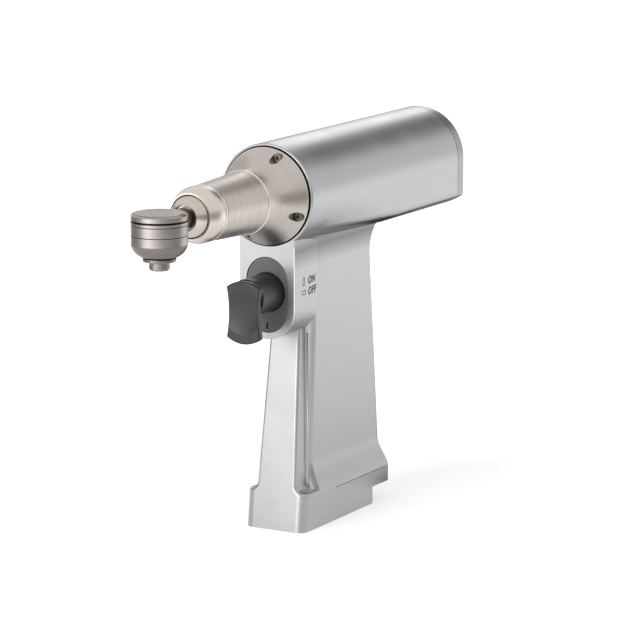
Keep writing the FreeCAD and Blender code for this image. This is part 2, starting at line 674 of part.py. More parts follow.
def nose_housing():
    """Flange, hollow cone and neck, with stepped bearing and journal bores."""
    edge = FLANGE_EDGE
    body = turned_y(
        (BEARING_OUT_R + FIT, SPIGOT_REAR_Y), (SPIGOT_R, SPIGOT_REAR_Y),
        (SPIGOT_R, O_RING_REAR_Y), (O_RING_FLOOR_R, O_RING_REAR_Y),
        (O_RING_FLOOR_R, O_RING_FRONT_Y), (SPIGOT_R, O_RING_FRONT_Y),
        (SPIGOT_R, FLANGE_SEAT_DEPTH), (FLANGE_R, FLANGE_SEAT_DEPTH), (FLANGE_R, -0.5),
        (FLANGE_R - edge, -0.5 - edge),
        ((CONE_MID_R, CONE_MID_Y), (NECK_REAR_R + NECK_STEP, NECK_REAR_Y)),
        (NECK_REAR_R, NECK_REAR_Y - NECK_STEP), (NECK_FRONT_R, NECK_FRONT_Y),
        (COLLAR_THREAD_R, NECK_FRONT_Y), (COLLAR_THREAD_R, NOSE_FRONT_Y),
        (JOURNAL_R + RUNNING, NOSE_FRONT_Y), (JOURNAL_R + RUNNING, CLIP_FRONT_Y - FIT),
        (CLIP_OUT_R + FIT, CLIP_FRONT_Y - FIT), (CLIP_OUT_R + FIT, CLIP_REAR_Y + FIT),
        (JOURNAL_R + RUNNING, CLIP_REAR_Y + FIT), (JOURNAL_R + RUNNING, JOURNAL_REAR_Y + JOINT_GAP),
        (SHAFT_R + 1.5, JOURNAL_REAR_Y + JOINT_GAP), (SHAFT_R + 1.5, NOSE_BEARING_Y),
        (BEARING_OUT_R + FIT, NOSE_BEARING_Y))
    cuts = []
    for angle in NOSE_SCREW_ANGLES:
        at = polar(NOSE_SCREW_CIRCLE_R, angle)
        cuts.append(rod_y(NOSE_SCREW_R + 0.15, NOSE_SCREW_SEAT_Y - 1, FLANGE_SEAT_DEPTH + 1, at.x, at.z))
        cuts.append(rod_y(NOSE_SCREW_HEAD_R + 0.15, NECK_REAR_Y, NOSE_SCREW_SEAT_Y, at.x, at.z))
    for step in range(INDEX_STEPS // 2):
        ball = polar(1, 90 + step * 720 / INDEX_STEPS)
        hole = Part.makeCylinder(INDEX_BALL_R + FIT, COLLAR_THREAD_R + 1, V(0, INDEX_Y, 0), ball)
        cuts.append(hole)
    return body.cut(cuts)


def nose_collar():
    """The bullnose ring on the nose's end; it covers the index balls and their spring."""
    band = 1.3
    return turned_y(
        (COLLAR_THREAD_R + FIT, NECK_FRONT_Y - FIT), (NECK_FRONT_R - 0.4, NECK_FRONT_Y - FIT),
        (NECK_FRONT_R, NECK_FRONT_Y - 0.5), (NECK_FRONT_R, NECK_FRONT_Y - band),
        (NECK_FRONT_R - 0.15, NECK_FRONT_Y - band - 0.2),
        ((COLLAR_MID_R, COLLAR_MID_Y), (COLLAR_LIP_R, COLLAR_FRONT_Y)),
        (DOME_R + JOINT_GAP, COLLAR_FRONT_Y), (DOME_R + JOINT_GAP, NOSE_FRONT_Y - FIT),
        (COLLAR_THREAD_R + FIT, NOSE_FRONT_Y - FIT),
        (COLLAR_THREAD_R + FIT, INDEX_Y - INDEX_SPRING_HALF - FIT),
        (INDEX_SPRING_R + FIT, INDEX_Y - INDEX_SPRING_HALF - FIT),
        (INDEX_SPRING_R + FIT, INDEX_Y + INDEX_SPRING_HALF + FIT),
        (COLLAR_THREAD_R + FIT, INDEX_Y + INDEX_SPRING_HALF + FIT))


def index_balls():
    """Balls in the nose's cross holes; they stand just clear of the journal's dimples."""
    balls = []
    for step in range(INDEX_STEPS // 2):
        at = polar(JOURNAL_R + RUNNING + INDEX_BALL_R, 90 + step * 720 / INDEX_STEPS, INDEX_Y)
        balls.append(Part.makeSphere(INDEX_BALL_R, at))
    return Part.makeCompound(balls)


def index_spring():
    """The split ring that presses the index balls inwards."""
    band = ring(COLLAR_THREAD_R + 0.1, INDEX_SPRING_R, INDEX_Y - INDEX_SPRING_HALF,
                INDEX_Y + INDEX_SPRING_HALF)
    return band.cut(block(0, INDEX_SPRING_R + 1, INDEX_Y - 2, INDEX_Y + 2, -0.8, 0.8))


def head_clip():
    """The split ring that holds the head's journal in the nose."""
    band = ring(CLIP_IN_R, CLIP_OUT_R, CLIP_FRONT_Y, CLIP_REAR_Y)
    return band.cut(block(-1.1, 1.1, CLIP_FRONT_Y - 1, CLIP_REAR_Y + 1, -CLIP_OUT_R - 1, 0))


def nose_seal():
    """The sealing ring between nose and barrel, of square section."""
    return ring(O_RING_FLOOR_R + SEAL_FIT, SPIGOT_R + FIT - SEAL_FIT, O_RING_FRONT_Y + JOINT_GAP,
                O_RING_REAR_Y - JOINT_GAP)


def socket_screw(head_r, head_h, shank_r, length, socket_r):
    """A socket-head screw pointing along +Y, its head's seat on y = 0."""
    head = Part.makeCylinder(head_r, head_h, V(0, -head_h, 0), Y_AXIS)
    rim = edges_at(head, lambda m, e: abs(m.y + head_h) < 1e-4 and e.Closed)
    head = head.makeChamfer(0.2, rim)
    screw = head.fuse(Part.makeCylinder(shank_r, length, V(0, 0, 0), Y_AXIS))
    corners = [V(socket_r * math.cos(math.radians(60 * i)), -head_h - 1,
                 socket_r * math.sin(math.radians(60 * i))) for i in range(6)]
    socket = Part.Face(Part.makePolygon(corners + corners[:1])).extrude(V(0, 1 + 0.55 * head_h, 0))
    return screw.cut(socket)


def screw_at(at, axis, length):
    """One of the handpiece's small screws; axis points the way it is driven."""
    screw = socket_screw(SCREW_HEAD_R, SCREW_HEAD_H, SCREW_R, length, 1.15)
    screw.Placement = FreeCAD.Placement(at, FreeCAD.Rotation(Y_AXIS, axis))
    return screw


def nose_screws():
    length = NOSE_SCREW_TIP_Y - NOSE_SCREW_SEAT_Y
    screws = []
    for angle in NOSE_SCREW_ANGLES:
        screw = socket_screw(NOSE_SCREW_HEAD_R, NOSE_SCREW_HEAD_H, NOSE_SCREW_R, length, 0.85)
        screw.translate(polar(NOSE_SCREW_CIRCLE_R, angle, NOSE_SCREW_SEAT_Y))
        screws.append(screw)
    return Part.makeCompound(screws)


# Saw head


def head_housing():
    """The upright drum with its neck tube; grooves run round the drum."""
    chamfer = 0.55
    drum = turned_z(
        (BEARING_OUT_R + FIT, BOWL_TOP_Z + FIT), (DRUM_R, BOWL_TOP_Z + FIT),
        (DRUM_R, GROOVE_LOW_Z - GROOVE_W), (DRUM_R - GROOVE_W, GROOVE_LOW_Z),
        (DRUM_R, GROOVE_LOW_Z + GROOVE_W), (DRUM_R, GROOVE_MID_Z - GROOVE_W),
        (DRUM_R - GROOVE_W, GROOVE_MID_Z), (DRUM_R, GROOVE_MID_Z + GROOVE_W),
        (DRUM_R, GROOVE_TOP_Z - GROOVE_TOP_HALF), (DRUM_R - GROOVE_TOP_DEPTH, GROOVE_TOP_Z - GROOVE_TOP_HALF),
        (DRUM_R - GROOVE_TOP_DEPTH, GROOVE_TOP_Z + GROOVE_TOP_HALF), (DRUM_R, GROOVE_TOP_Z + GROOVE_TOP_HALF),
        (DRUM_R, DRUM_TOP_Z - chamfer), (DRUM_R - chamfer, DRUM_TOP_Z),
        (BUTTON_R + 0.06, DRUM_TOP_Z), (BUTTON_R + 0.06, BUTTON_LEDGE_Z),
        (CAVITY_R, BUTTON_LEDGE_Z), (CAVITY_R, CAVITY_FLOOR_Z),
        (BEARING_OUT_R + FIT, CAVITY_FLOOR_Z))
    tube = rod_y(NECK_TUBE_R, HEAD_Y + 0.5 * DRUM_R, NECK_SOCKET_Y - FIT)
    room = turned_z((0, BOWL_TOP_Z - 1), (BEARING_OUT_R + FIT, BOWL_TOP_Z - 1),
                    (BEARING_OUT_R + FIT, CAVITY_FLOOR_Z), (CAVITY_R, CAVITY_FLOOR_Z),
                    (CAVITY_R, BUTTON_LEDGE_Z), (BUTTON_R + 0.06, BUTTON_LEDGE_Z),
                    (BUTTON_R + 0.06, DRUM_TOP_Z + 1), (0, DRUM_TOP_Z + 1))
    bore = rod_y(NECK_BORE_R, HEAD_Y, NECK_SOCKET_Y + 1)
    return drum.fuse(tube).cut([room, bore])


def head_shank():
    """The swivel journal with its domed shoulder; the neck tube is pressed into it."""
    body = turned_y(
        (NECK_BORE_R, JOURNAL_REAR_Y), (JOURNAL_R, JOURNAL_REAR_Y),
        (JOURNAL_R, CLIP_REAR_Y + 0.1), (CLIP_IN_R - 0.1, CLIP_REAR_Y + 0.1),
        (CLIP_IN_R - 0.1, CLIP_FRONT_Y - 0.1), (JOURNAL_R, CLIP_FRONT_Y - 0.1),
        (JOURNAL_R, NOSE_FRONT_Y - JOINT_GAP), (DOME_R, NOSE_FRONT_Y - JOINT_GAP),
        (DOME_R, DOME_EDGE_Y),
        ((DOME_MID_R, DOME_MID_Y), (NECK_RECESS_R, DOME_TIP_Y)),
        (NECK_RECESS_R, DOME_TIP_Y + NECK_RECESS), (NECK_TUBE_R + FIT, DOME_TIP_Y + NECK_RECESS),
        (NECK_TUBE_R + FIT, NECK_SOCKET_Y), (NECK_BORE_R, NECK_SOCKET_Y))
    dimples = []
    for step in range(INDEX_STEPS):
        angle = 90 + step * 360 / INDEX_STEPS
        dimples.append(Part.makeCone(0, 2 * DIMPLE_DEPTH, 2 * DIMPLE_DEPTH,
                                     polar(JOURNAL_R - DIMPLE_DEPTH, angle, INDEX_Y), polar(1, angle)))
    return body.cut(dimples)


def head_bowl():
    """The rounded lower nut of the drum, with the lip that carries the seal."""
    lip = BLADE_SHAFT_R + 1.1
    return turned_z(
        (BEARING_OUT_R + FIT, BOWL_TOP_Z), (DRUM_R, BOWL_TOP_Z),
        ((BOWL_MID_R, BOWL_MID_Z), (BOWL_BOTTOM_R, BOWL_BOTTOM_Z)),
        (lip, BOWL_BOTTOM_Z), (lip, LOWER_BEARING_Z), (BEARING_OUT_R + FIT, LOWER_BEARING_Z))


def head_bearings():
    """Two ball races on the blade shaft."""
    races = []
    for z in (CAVITY_FLOOR_Z - BLADE_BEARING_WIDTH, LOWER_BEARING_Z):
        races.append(turned_z((BLADE_SHAFT_R + RUNNING, z), (BEARING_OUT_R, z),
                              (BEARING_OUT_R, z + BLADE_BEARING_WIDTH),
                              (BLADE_SHAFT_R + RUNNING, z + BLADE_BEARING_WIDTH)))
    return Part.makeCompound(races)


def head_bearing_spacer():
    low = LOWER_BEARING_Z + BLADE_BEARING_WIDTH
    high = CAVITY_FLOOR_Z - BLADE_BEARING_WIDTH
    return turned_z((BEARING_OUT_R - 0.9, low), (BEARING_OUT_R, low), (BEARING_OUT_R, high),
                    (BEARING_OUT_R - 0.9, high))


def head_seal():
    """The lip seal round the blade shaft."""
    lip = BLADE_SHAFT_R + 1.1 - SEAL_FIT
    return turned_z((BLADE_SHAFT_R + RUNNING, BOWL_BOTTOM_Z + 0.1), (lip, BOWL_BOTTOM_Z + 0.1),
                    (lip, LOWER_BEARING_Z - 0.1), (BLADE_SHAFT_R + 0.5, LOWER_BEARING_Z - 0.1))


def release_button():
    """The drum's whole top face: pressing it opens the blade clamp."""
    low = BUTTON_TOP_Z - BUTTON_THICKNESS
    chamfer = 0.3
    return turned_z(
        (0, BUTTON_STEM_Z), (BUTTON_STEM_R, BUTTON_STEM_Z), (BUTTON_STEM_R, low),
        (BUTTON_R, low), (BUTTON_R, BUTTON_TOP_Z - chamfer),
        (BUTTON_R - chamfer, BUTTON_TOP_Z), (BUTTON_R - 1.6, BUTTON_TOP_Z),
        (BUTTON_R - 2.0, BUTTON_TOP_Z - 0.12), (0, BUTTON_TOP_Z - 0.12))


def button_spring():
    """A coned spring washer under the button's rim."""
    low = BUTTON_LEDGE_Z + 0.02
    high = BUTTON_TOP_Z - BUTTON_THICKNESS - 0.02
    thick = 0.22
    return turned_z((BUTTON_R - 0.05, low), (BUTTON_R - 0.05, low + thick),
                    (CAVITY_R + 0.1, high), (CAVITY_R + 0.1, high - thick))


def blade_shaft():
    """The oscillating shaft: its fork straddles the crank sleeve."""
    fork = Part.Face(outline(
        V(-FORK_HALF, HEAD_Y, FORK_BOTTOM_Z), V(-FORK_HALF, HEAD_Y + FORK_REACH, FORK_BOTTOM_Z),
        V(FORK_HALF, HEAD_Y + FORK_REACH, FORK_BOTTOM_Z), V(FORK_HALF, HEAD_Y, FORK_BOTTOM_Z),
        (V(0, HEAD_Y - FORK_HALF, FORK_BOTTOM_Z), V(-FORK_HALF, HEAD_Y, FORK_BOTTOM_Z))))
    fork = fork.extrude(V(0, 0, FORK_TOP_Z - FORK_BOTTOM_Z))
    slot_floor = HEAD_Y + FORK_HUB_R
    slot = block(-FORK_SLOT_HALF, FORK_SLOT_HALF, slot_floor, HEAD_Y + FORK_REACH + 1,
                 FORK_BOTTOM_Z - 1, FORK_TOP_Z + 1)
    shaft = rod_z(BLADE_SHAFT_R, BLADE_FLANGE_Z, FORK_BOTTOM_Z, 0, HEAD_Y)
    tail = rod_z(SHAFT_TAIL_R, BLADE_SEAT_Z, BLADE_FLANGE_Z, 0, HEAD_Y)
    body = fork.cut(slot).fuse([shaft, tail])
    return body.cut([
        rod_z(CLAMP_ROD_R + RUNNING, BLADE_SEAT_Z - 1, FORK_TOP_Z + 1, 0, HEAD_Y),
        rod_z(CLAMP_WELL_R, CLAMP_WELL_Z, FORK_TOP_Z + 1, 0, HEAD_Y)])


def blade_flange():
    """The round seat that the blade's hub is clamped against."""
    edge = 0.25
    top = BLADE_FLANGE_Z - FIT
    body = turned_z((SHAFT_TAIL_R + FIT, BLADE_SEAT_Z), (BLADE_FLANGE_R - edge, BLADE_SEAT_Z),
                    (BLADE_FLANGE_R, BLADE_SEAT_Z + edge), (BLADE_FLANGE_R, top),
                    (SHAFT_TAIL_R + FIT, top))
    return body.cut(pin_circle(DRIVE_PIN_R + 0.02, BLADE_SEAT_Z - 1, top + 1))


def pin_circle(r, z0, z1):
    """Upright rods on the blade's pin circle."""
    rods = []
    for step in range(DRIVE_PIN_COUNT):
        a = math.radians(360 * step / DRIVE_PIN_COUNT)
        rods.append(rod_z(r, z0, z1, DRIVE_PIN_CIRCLE_R * math.sin(a),
                          HEAD_Y + DRIVE_PIN_CIRCLE_R * math.cos(a)))
    return rods


def drive_pins():
    return Part.makeCompound(pin_circle(DRIVE_PIN_R, BLADE_SEAT_Z - DRIVE_PIN_LENGTH,
                                        BLADE_FLANGE_Z - FIT))


def clamp_rod():
    """The rod through the blade shaft, with the clamping foot below it."""
    edge = 0.5
    foot_top = BLADE_SEAT_Z - CLAMP_GAP
    return turned_z(
        (0, CLAMP_ROD_TOP_Z), (CLAMP_ROD_R, CLAMP_ROD_TOP_Z), (CLAMP_ROD_R, foot_top),
        (CLAMP_FOOT_R - 0.25, foot_top), (CLAMP_FOOT_R, foot_top - 0.25),
        (CLAMP_FOOT_R, CLAMP_FOOT_Z + edge), (CLAMP_FOOT_R - edge, CLAMP_FOOT_Z), (0, CLAMP_FOOT_Z))


def clamp_nut():
    """The nut at the rod's top that the clamp spring pushes on."""
    return turned_z((CLAMP_ROD_R + FIT, CLAMP_NUT_Z), (CLAMP_WELL_R - 0.15, CLAMP_NUT_Z),
                    (CLAMP_WELL_R - 0.15, CLAMP_ROD_TOP_Z), (CLAMP_ROD_R + FIT, CLAMP_ROD_TOP_Z))


def clamp_spring():
    """A stack of coned washers in the blade shaft's well, facing in turn up and down."""
    count = 5
    height = CLAMP_NUT_Z - CLAMP_WELL_Z - 0.04
    pitch = height / count
    thick = 0.3
    inner = CLAMP_ROD_R + 0.12
    outer = CLAMP_WELL_R - 0.15
    washers = []
    for step in range(count):
        low = CLAMP_WELL_Z + 0.02 + step * pitch + 0.005
        high = low + pitch - thick - 0.01
        a, b = (inner, outer) if step % 2 else (outer, inner)
        washers.append(turned_z((a, low), (a, low + thick), (b, high + thick), (b, high)))
    return Part.makeCompound(washers)


# Motor and drive line


def motor_stator():
    """The laminated stack with six teeth."""
    y0 = STATOR_FRONT_Y
    body = ring(STATOR_BORE_R, MOTOR_BORE_R - FIT, y0, y0 + STATOR_LENGTH)
    slots = []
    for step in range(6):
        slot = block(STATOR_BORE_R + 0.8, MOTOR_BORE_R - 2.4, y0 - 1, y0 + STATOR_LENGTH + 1, -2.6, 2.6)
        slot.rotate(V(0, 0, 0), Y_AXIS, 60 * step)
        slots.append(slot)
    return body.cut(slots)


def motor_windings():
    """Copper in the slots and its end turns at both faces of the stack."""
    y0 = STATOR_FRONT_Y
    gap = 0.1
    coils = []
    for step in range(6):
        bar = block(STATOR_BORE_R + 0.8 + gap, MOTOR_BORE_R - 2.4 - gap, y0 - 0.5,
                    y0 + STATOR_LENGTH + 0.5, -2.6 + gap, 2.6 - gap)
        bar.rotate(V(0, 0, 0), Y_AXIS, 60 * step)
        coils.append(bar)
    for y, outward in ((y0 - FIT, -1), (y0 + STATOR_LENGTH + FIT, 1)):
        r_in = STATOR_BORE_R + 0.7
        r_out = MOTOR_BORE_R - BELL_WALL - 0.8
        tip = y + outward * WINDING_HEIGHT
        coils.append(turned_y((r_in, y), (r_out, y), (r_out, tip - outward * 1.0),
                              (r_out - 1.0, tip), (r_in + 1.0, tip), (r_in, tip - outward * 1.0)))
    return coils[0].fuse(coils[1:])


def motor_bell(face_y, outward):
    """An end bell: a cup over the end turns with a bearing seat in its middle."""
    rim = MOTOR_BORE_R - FIT
    end = face_y + outward * BELL_DEPTH
    inside = end - outward * BELL_END
    lip = end - outward * BELL_LIP
    seat = lip - outward * BEARING_WIDTH
    return turned_y(
        (rim - BELL_WALL, face_y), (rim, face_y), (rim, end), (SHAFT_R + 1.6, end),
        (SHAFT_R + 1.6, lip), (BEARING_OUT_R + FIT, lip), (BEARING_OUT_R + FIT, seat),
        (BEARING_OUT_R + 1.4, seat), (BEARING_OUT_R + 1.4, inside), (rim - BELL_WALL, inside))


def motor_front_bell():
    return motor_bell(STATOR_FRONT_Y, -1)


def motor_rear_bell():
    """The rear bell also carries three posts for the position sensor's board."""
    posts = []
    for angle in (30, 150, 270):
        at = polar(BOARD_POST_CIRCLE_R, angle)
        posts.append(rod_y(1.5, REAR_BELL_END_Y - 0.5, BOARD_FRONT_Y, at.x, at.z))
    return motor_bell(STATOR_FRONT_Y + STATOR_LENGTH, 1).fuse(posts)


def motor_bearings():
    front = MOTOR_SEAT_Y + BELL_LIP
    rear = REAR_BELL_END_Y - BELL_LIP - BEARING_WIDTH
    return Part.makeCompound([ring(SHAFT_R + RUNNING, BEARING_OUT_R, y, y + BEARING_WIDTH)
                              for y in (front, rear)])


def position_board():
    """The ring-shaped board that reads the rotor's angle."""
    return ring(SHAFT_R + 3.5, BOARD_POST_CIRCLE_R + 2.2, BOARD_FRONT_Y,
                BOARD_FRONT_Y + BOARD_THICKNESS)


def motor_lock_ring():
    """The slotted ring behind the motor."""
    end = REAR_BELL_END_Y + LOCK_RING_LENGTH
    band = ring(MOTOR_BORE_R - 1.8, MOTOR_BORE_R - FIT, REAR_BELL_END_Y, end)
    slots = []
    for step in range(4):
        slot = block(MOTOR_BORE_R - 3, MOTOR_BORE_R + 1, end - 2, end + 1, -1.5, 1.5)
        slot.rotate(V(0, 0, 0), Y_AXIS, 45 + 90 * step)
        slots.append(slot)
    return band.cut(slots)


def rotor_shaft():
    return rod_y(SHAFT_R, ROTOR_FRONT_Y, ROTOR_REAR_Y)


def rotor_magnet():
    return ring(SHAFT_R + 0.01, MAGNET_R, STATOR_FRONT_Y + MAGNET_INSET,
                STATOR_FRONT_Y + STATOR_LENGTH - MAGNET_INSET)


def balance_rings():
    front = STATOR_FRONT_Y + MAGNET_INSET - BALANCE_WIDTH
    rear = STATOR_FRONT_Y + STATOR_LENGTH - MAGNET_INSET
    return Part.makeCompound([ring(SHAFT_R + 0.01, MAGNET_R - 1.6, y, y + BALANCE_WIDTH)
                              for y in (front, rear)])


def sensor_magnet():
    return ring(SHAFT_R + 0.01, SHAFT_R + 2.3, BOARD_FRONT_Y - 0.6, BOARD_FRONT_Y + 2.4)


def drive_coupling():
    """The sleeve that joins rotor shaft and drive shaft, with a clamping slit."""
    front = ROTOR_FRONT_Y - COUPLING_HALF
    rear = ROTOR_FRONT_Y + COUPLING_HALF
    sleeve = ring(SHAFT_R + 0.01, COUPLING_R, front, rear)
    return sleeve.cut(block(0, COUPLING_R + 1, front - 1, rear + 1, -0.4, 0.4))


def drive_shaft():
    """The shaft through the nose, thinned to a quill, with a shouldered eccentric crank pin."""
    thick = rod_y(SHAFT_R, QUILL_REAR_Y, ROTOR_FRONT_Y - 0.2)
    quill = rod_y(QUILL_R, HEAD_Y + CRANK_SHOULDER_REACH, QUILL_REAR_Y)
    shoulder = rod_y(CRANK_SHOULDER_R, HEAD_Y + CRANK_SLEEVE_REACH + 0.1,
                     HEAD_Y + CRANK_SHOULDER_REACH, CRANK_OFFSET, 0)
    crank = rod_y(CRANK_R, HEAD_Y + CRANK_TIP, HEAD_Y + CRANK_SHOULDER_REACH, CRANK_OFFSET, 0)
    return thick.fuse([quill, shoulder, crank])


def crank_sleeve():
    """The hardened roller on the crank pin."""
    y0 = HEAD_Y + CRANK_TIP + 0.1
    y1 = HEAD_Y + CRANK_SLEEVE_REACH
    return rod_y(CRANK_SLEEVE_R, y0, y1, CRANK_OFFSET, 0).cut(
        rod_y(CRANK_R + RUNNING, y0, y1, CRANK_OFFSET, 0))


def drive_bearings():
    rear = NOSE_BEARING_Y + BEARING_SPREAD
    return Part.makeCompound([ring(SHAFT_R + RUNNING, BEARING_OUT_R, y, y + BEARING_WIDTH)
                              for y in (NOSE_BEARING_Y, rear)])


def bearing_spacer():
    return ring(BEARING_OUT_R - 1.1, BEARING_OUT_R, NOSE_BEARING_Y + BEARING_WIDTH,
                NOSE_BEARING_Y + BEARING_SPREAD)


def bearing_retainer():
    """The threaded ring behind the drive shaft's rear bearing."""
    y0 = NOSE_BEARING_Y + BEARING_SPREAD + BEARING_WIDTH
    return ring(SHAFT_R + 1.5, BEARING_OUT_R, y0, y0 + 3.0)


# Trigger and selector


def round_trigger(r_in, r_out, y0, y1):
    """A ring on the trigger's axis."""
    part = ring(r_in, r_out, y0, y1)
    part.translate(V(0, 0, TRIGGER_Z))
    return part


def trigger_bezel():
    """The dark insert round the trigger's stem, with a sight slot near its foot."""
    back = BEZEL_SUNK + BEZEL_THICKNESS
    plate = Part.Face(bezel_outline(0.0, BEZEL_SUNK)).extrude(V(0, BEZEL_THICKNESS, 0))
    rim = edges_at(plate, lambda m, e: abs(m.y - BEZEL_SUNK) < 0.01)
    plate = plate.makeChamfer(0.3, rim)
    hole = rod_y(STEM_R + JOINT_GAP, -1, back + 1, 0, TRIGGER_Z)
    seal_room = rod_y(SLEEVE_R, back - SEAL_ROOM, back + 1, 0, TRIGGER_Z)
    slot_z = BEZEL_BOTTOM_Z + 2.4
    slot = block(-0.45, 0.45, BEZEL_SUNK - 1, BEZEL_SUNK + 1.0, slot_z - 1.1, slot_z + 1.1)
    return plate.cut([hole, seal_room, slot])


def trigger_seal():
    """The sealing ring round the stem, of square section."""
    back = BEZEL_SUNK + BEZEL_THICKNESS
    return round_trigger(STEM_R + SEAL_FIT, SLEEVE_R - SEAL_FIT, back - SEAL_ROOM + JOINT_GAP,
                         back - JOINT_GAP)


def detent_sphere(grow):
    return Part.makeSphere(DETENT_R + grow, V(0, DETENT_Y, TRIGGER_Z + SLEEVE_R + RUNNING + DETENT_R))


def detent_ball():
    return detent_sphere(0.0)


def detent_spring():
    low = TRIGGER_Z + SLEEVE_R + RUNNING + 2 * DETENT_R
    return coil(DETENT_R - 0.25, 0.17, V(0, DETENT_Y, low), DETENT_TOP_Z - low,
                DETENT_TURNS, Z_AXIS)


def selector_sleeve():
    """The sleeve that turns with the trigger: two keys inside, two detent dimples outside."""
    front = BEZEL_SUNK + BEZEL_THICKNESS + RUNNING
    sleeve = round_trigger(STEM_R + SLEEVE_FIT, SLEEVE_R, front, GUIDE_REAR_Y - RUNNING)
    keys = []
    for side in (-1, 1):
        inner = side * (STEM_R - KEY_DEPTH + RUNNING)
        outer = side * (STEM_R + SLEEVE_FIT + 0.2)
        keys.append(block(min(inner, outer), max(inner, outer), KEY_FRONT_Y, KEY_REAR_Y,
                          TRIGGER_Z - KEY_HALF, TRIGGER_Z + KEY_HALF))
    run_dimple = detent_sphere(0.25)
    safe_dimple = detent_sphere(0.25)
    safe_dimple.rotate(V(0, 0, TRIGGER_Z), Y_AXIS, 90)
    return sleeve.fuse(keys).cut([run_dimple, safe_dimple])


def trigger_guide():
    """The bush in the housing that the sleeve turns in."""
    front = BEZEL_SUNK + BEZEL_THICKNESS
    bush = round_trigger(SLEEVE_R + RUNNING, GUIDE_R, front, GUIDE_REAR_Y)
    return bush.cut(rod_z(DETENT_R + FIT, TRIGGER_Z, DETENT_TOP_Z, 0, DETENT_Y))


def trigger_sensor():
    """The potted sensor that closes the guide and seats the spring."""
    disc = round_trigger(0, GUIDE_R, GUIDE_REAR_Y, GUIDE_REAR_Y + SENSOR_THICKNESS)
    return disc.fuse(rod_y(SPRING_POST_R, GUIDE_REAR_Y - 2.0, GUIDE_REAR_Y, 0, TRIGGER_Z))


def trigger_stem():
    """The sliding stem: hollow behind, with two keyways and a spigot for the head."""
    body = rod_y(STEM_R, HEAD_BACK_Y, STEM_REAR_Y, 0, TRIGGER_Z)
    spigot = rod_y(HEAD_SPIGOT_R, HEAD_BACK_Y - HEAD_SPIGOT_L, HEAD_BACK_Y, 0, TRIGGER_Z)
    bore = rod_y(STEM_BORE_R, STEM_FLOOR_Y, STEM_REAR_Y + 1, 0, TRIGGER_Z)
    keyways = []
    for side in (-1, 1):
        inner = side * (STEM_R - KEY_DEPTH)
        outer = side * (STEM_R + 1)
        keyways.append(block(min(inner, outer), max(inner, outer), KEYWAY_FRONT_Y, STEM_REAR_Y + 1,
                             TRIGGER_Z - KEY_HALF - RUNNING, TRIGGER_Z + KEY_HALF + RUNNING))
    return body.fuse(spigot).cut([bore] + keyways)


def trigger_head():
    """The finger plate: a disc cut by two waisted flats, dished in front."""
    z = HEAD_CENTRE_Z
    rise = math.sqrt(HEAD_DISC_R ** 2 - HEAD_HALF ** 2)
    waist = HEAD_HALF - HEAD_WAIST
    y = HEAD_FRONT_Y
    wire = outline(
        V(-HEAD_HALF, y, z + rise), (V(0, y, z + HEAD_DISC_R), V(HEAD_HALF, y, z + rise)),
        (V(waist, y, z), V(HEAD_HALF, y, z - rise)),
        (V(0, y, z - HEAD_DISC_R), V(-HEAD_HALF, y, z - rise)),
        (V(-waist, y, z), V(-HEAD_HALF, y, z + rise)))
    plate = Part.Face(wire).extrude(V(0, HEAD_THICKNESS, 0))
    plate = plate.makeFillet(HEAD_EDGE_R, plate.Edges)
    dish = Part.makeSphere(HEAD_DISH_R, V(0, y - HEAD_DISH_R + HEAD_DISH_DEPTH, z))
    socket = rod_y(HEAD_SPIGOT_R + FIT, HEAD_BACK_Y - HEAD_SPIGOT_L - FIT, HEAD_BACK_Y + 1, 0,
                   TRIGGER_Z)
    return plate.cut([dish, socket])


def trigger_magnet():
    return rod_y(SPRING_POST_R, STEM_FLOOR_Y, STEM_FLOOR_Y + TRIGGER_MAGNET_LENGTH, 0, TRIGGER_Z)


def trigger_spring():
    return coil(SPRING_R, SPRING_WIRE_R, V(0, STEM_FLOOR_Y, TRIGGER_Z), GUIDE_REAR_Y - STEM_FLOOR_Y,
                SPRING_TURNS, Y_AXIS)


# Electronics and battery seat


def control_board():
    """The upright board along one wall of the pocket, with its tail to the trigger's sensor."""
    front = POCKET_FRONT_Y + 1
    board = block(BOARD_X, POCKET_HALF - 0.3, front, POCKET_REAR_Y - 1, BOARD_LOW_Z, POCKET_TOP_Z - 1.5)
    tail = block(BOARD_X + 0.1, BOARD_X + 0.9, GUIDE_REAR_Y + SENSOR_THICKNESS, front,
                 TRIGGER_Z - 1.6, TRIGGER_Z + 1.6)
    return board.fuse(tail)


def motor_driver():
    """The potted power stage on the board, with rounded upright edges."""
    body = block(-POCKET_HALF + 0.5, BOARD_X, POCKET_FRONT_Y + 1, POCKET_REAR_Y - 1, DRIVER_LOW_Z,
                 DRIVER_TOP_Z)
    upright = edges_at(body, lambda m, e: m.x < 0 and abs(m.z - 0.5 * (DRIVER_LOW_Z + DRIVER_TOP_Z)) < 1)
    return body.makeFillet(1.5, upright)


def lead(points, r):
    """A flat strip of wire along straight runs and round bends, in a plane of constant x."""
    edges = []
    here = points[0]
    for corner, after in zip(points[1:], points[2:]):
        back = (here - corner).normalize()
        ahead = (after - corner).normalize()
        start = corner + back * LEAD_BEND_R
        end = corner + ahead * LEAD_BEND_R
        middle = corner + (back + ahead) * (LEAD_BEND_R * (1 - math.sqrt(0.5)))
        edges.append(Part.LineSegment(here, start).toShape())
        edges.append(Part.Arc(start, middle, end).toShape())
        here = end
    edges.append(Part.LineSegment(here, points[-1]).toShape())
    section = outline(points[0] + V(-r, -r, 0), points[0] + V(r, -r, 0), points[0] + V(r, r, 0),
                      points[0] + V(-r, r, 0))
    return Part.Wire(edges).makePipeShell([section], True, True)


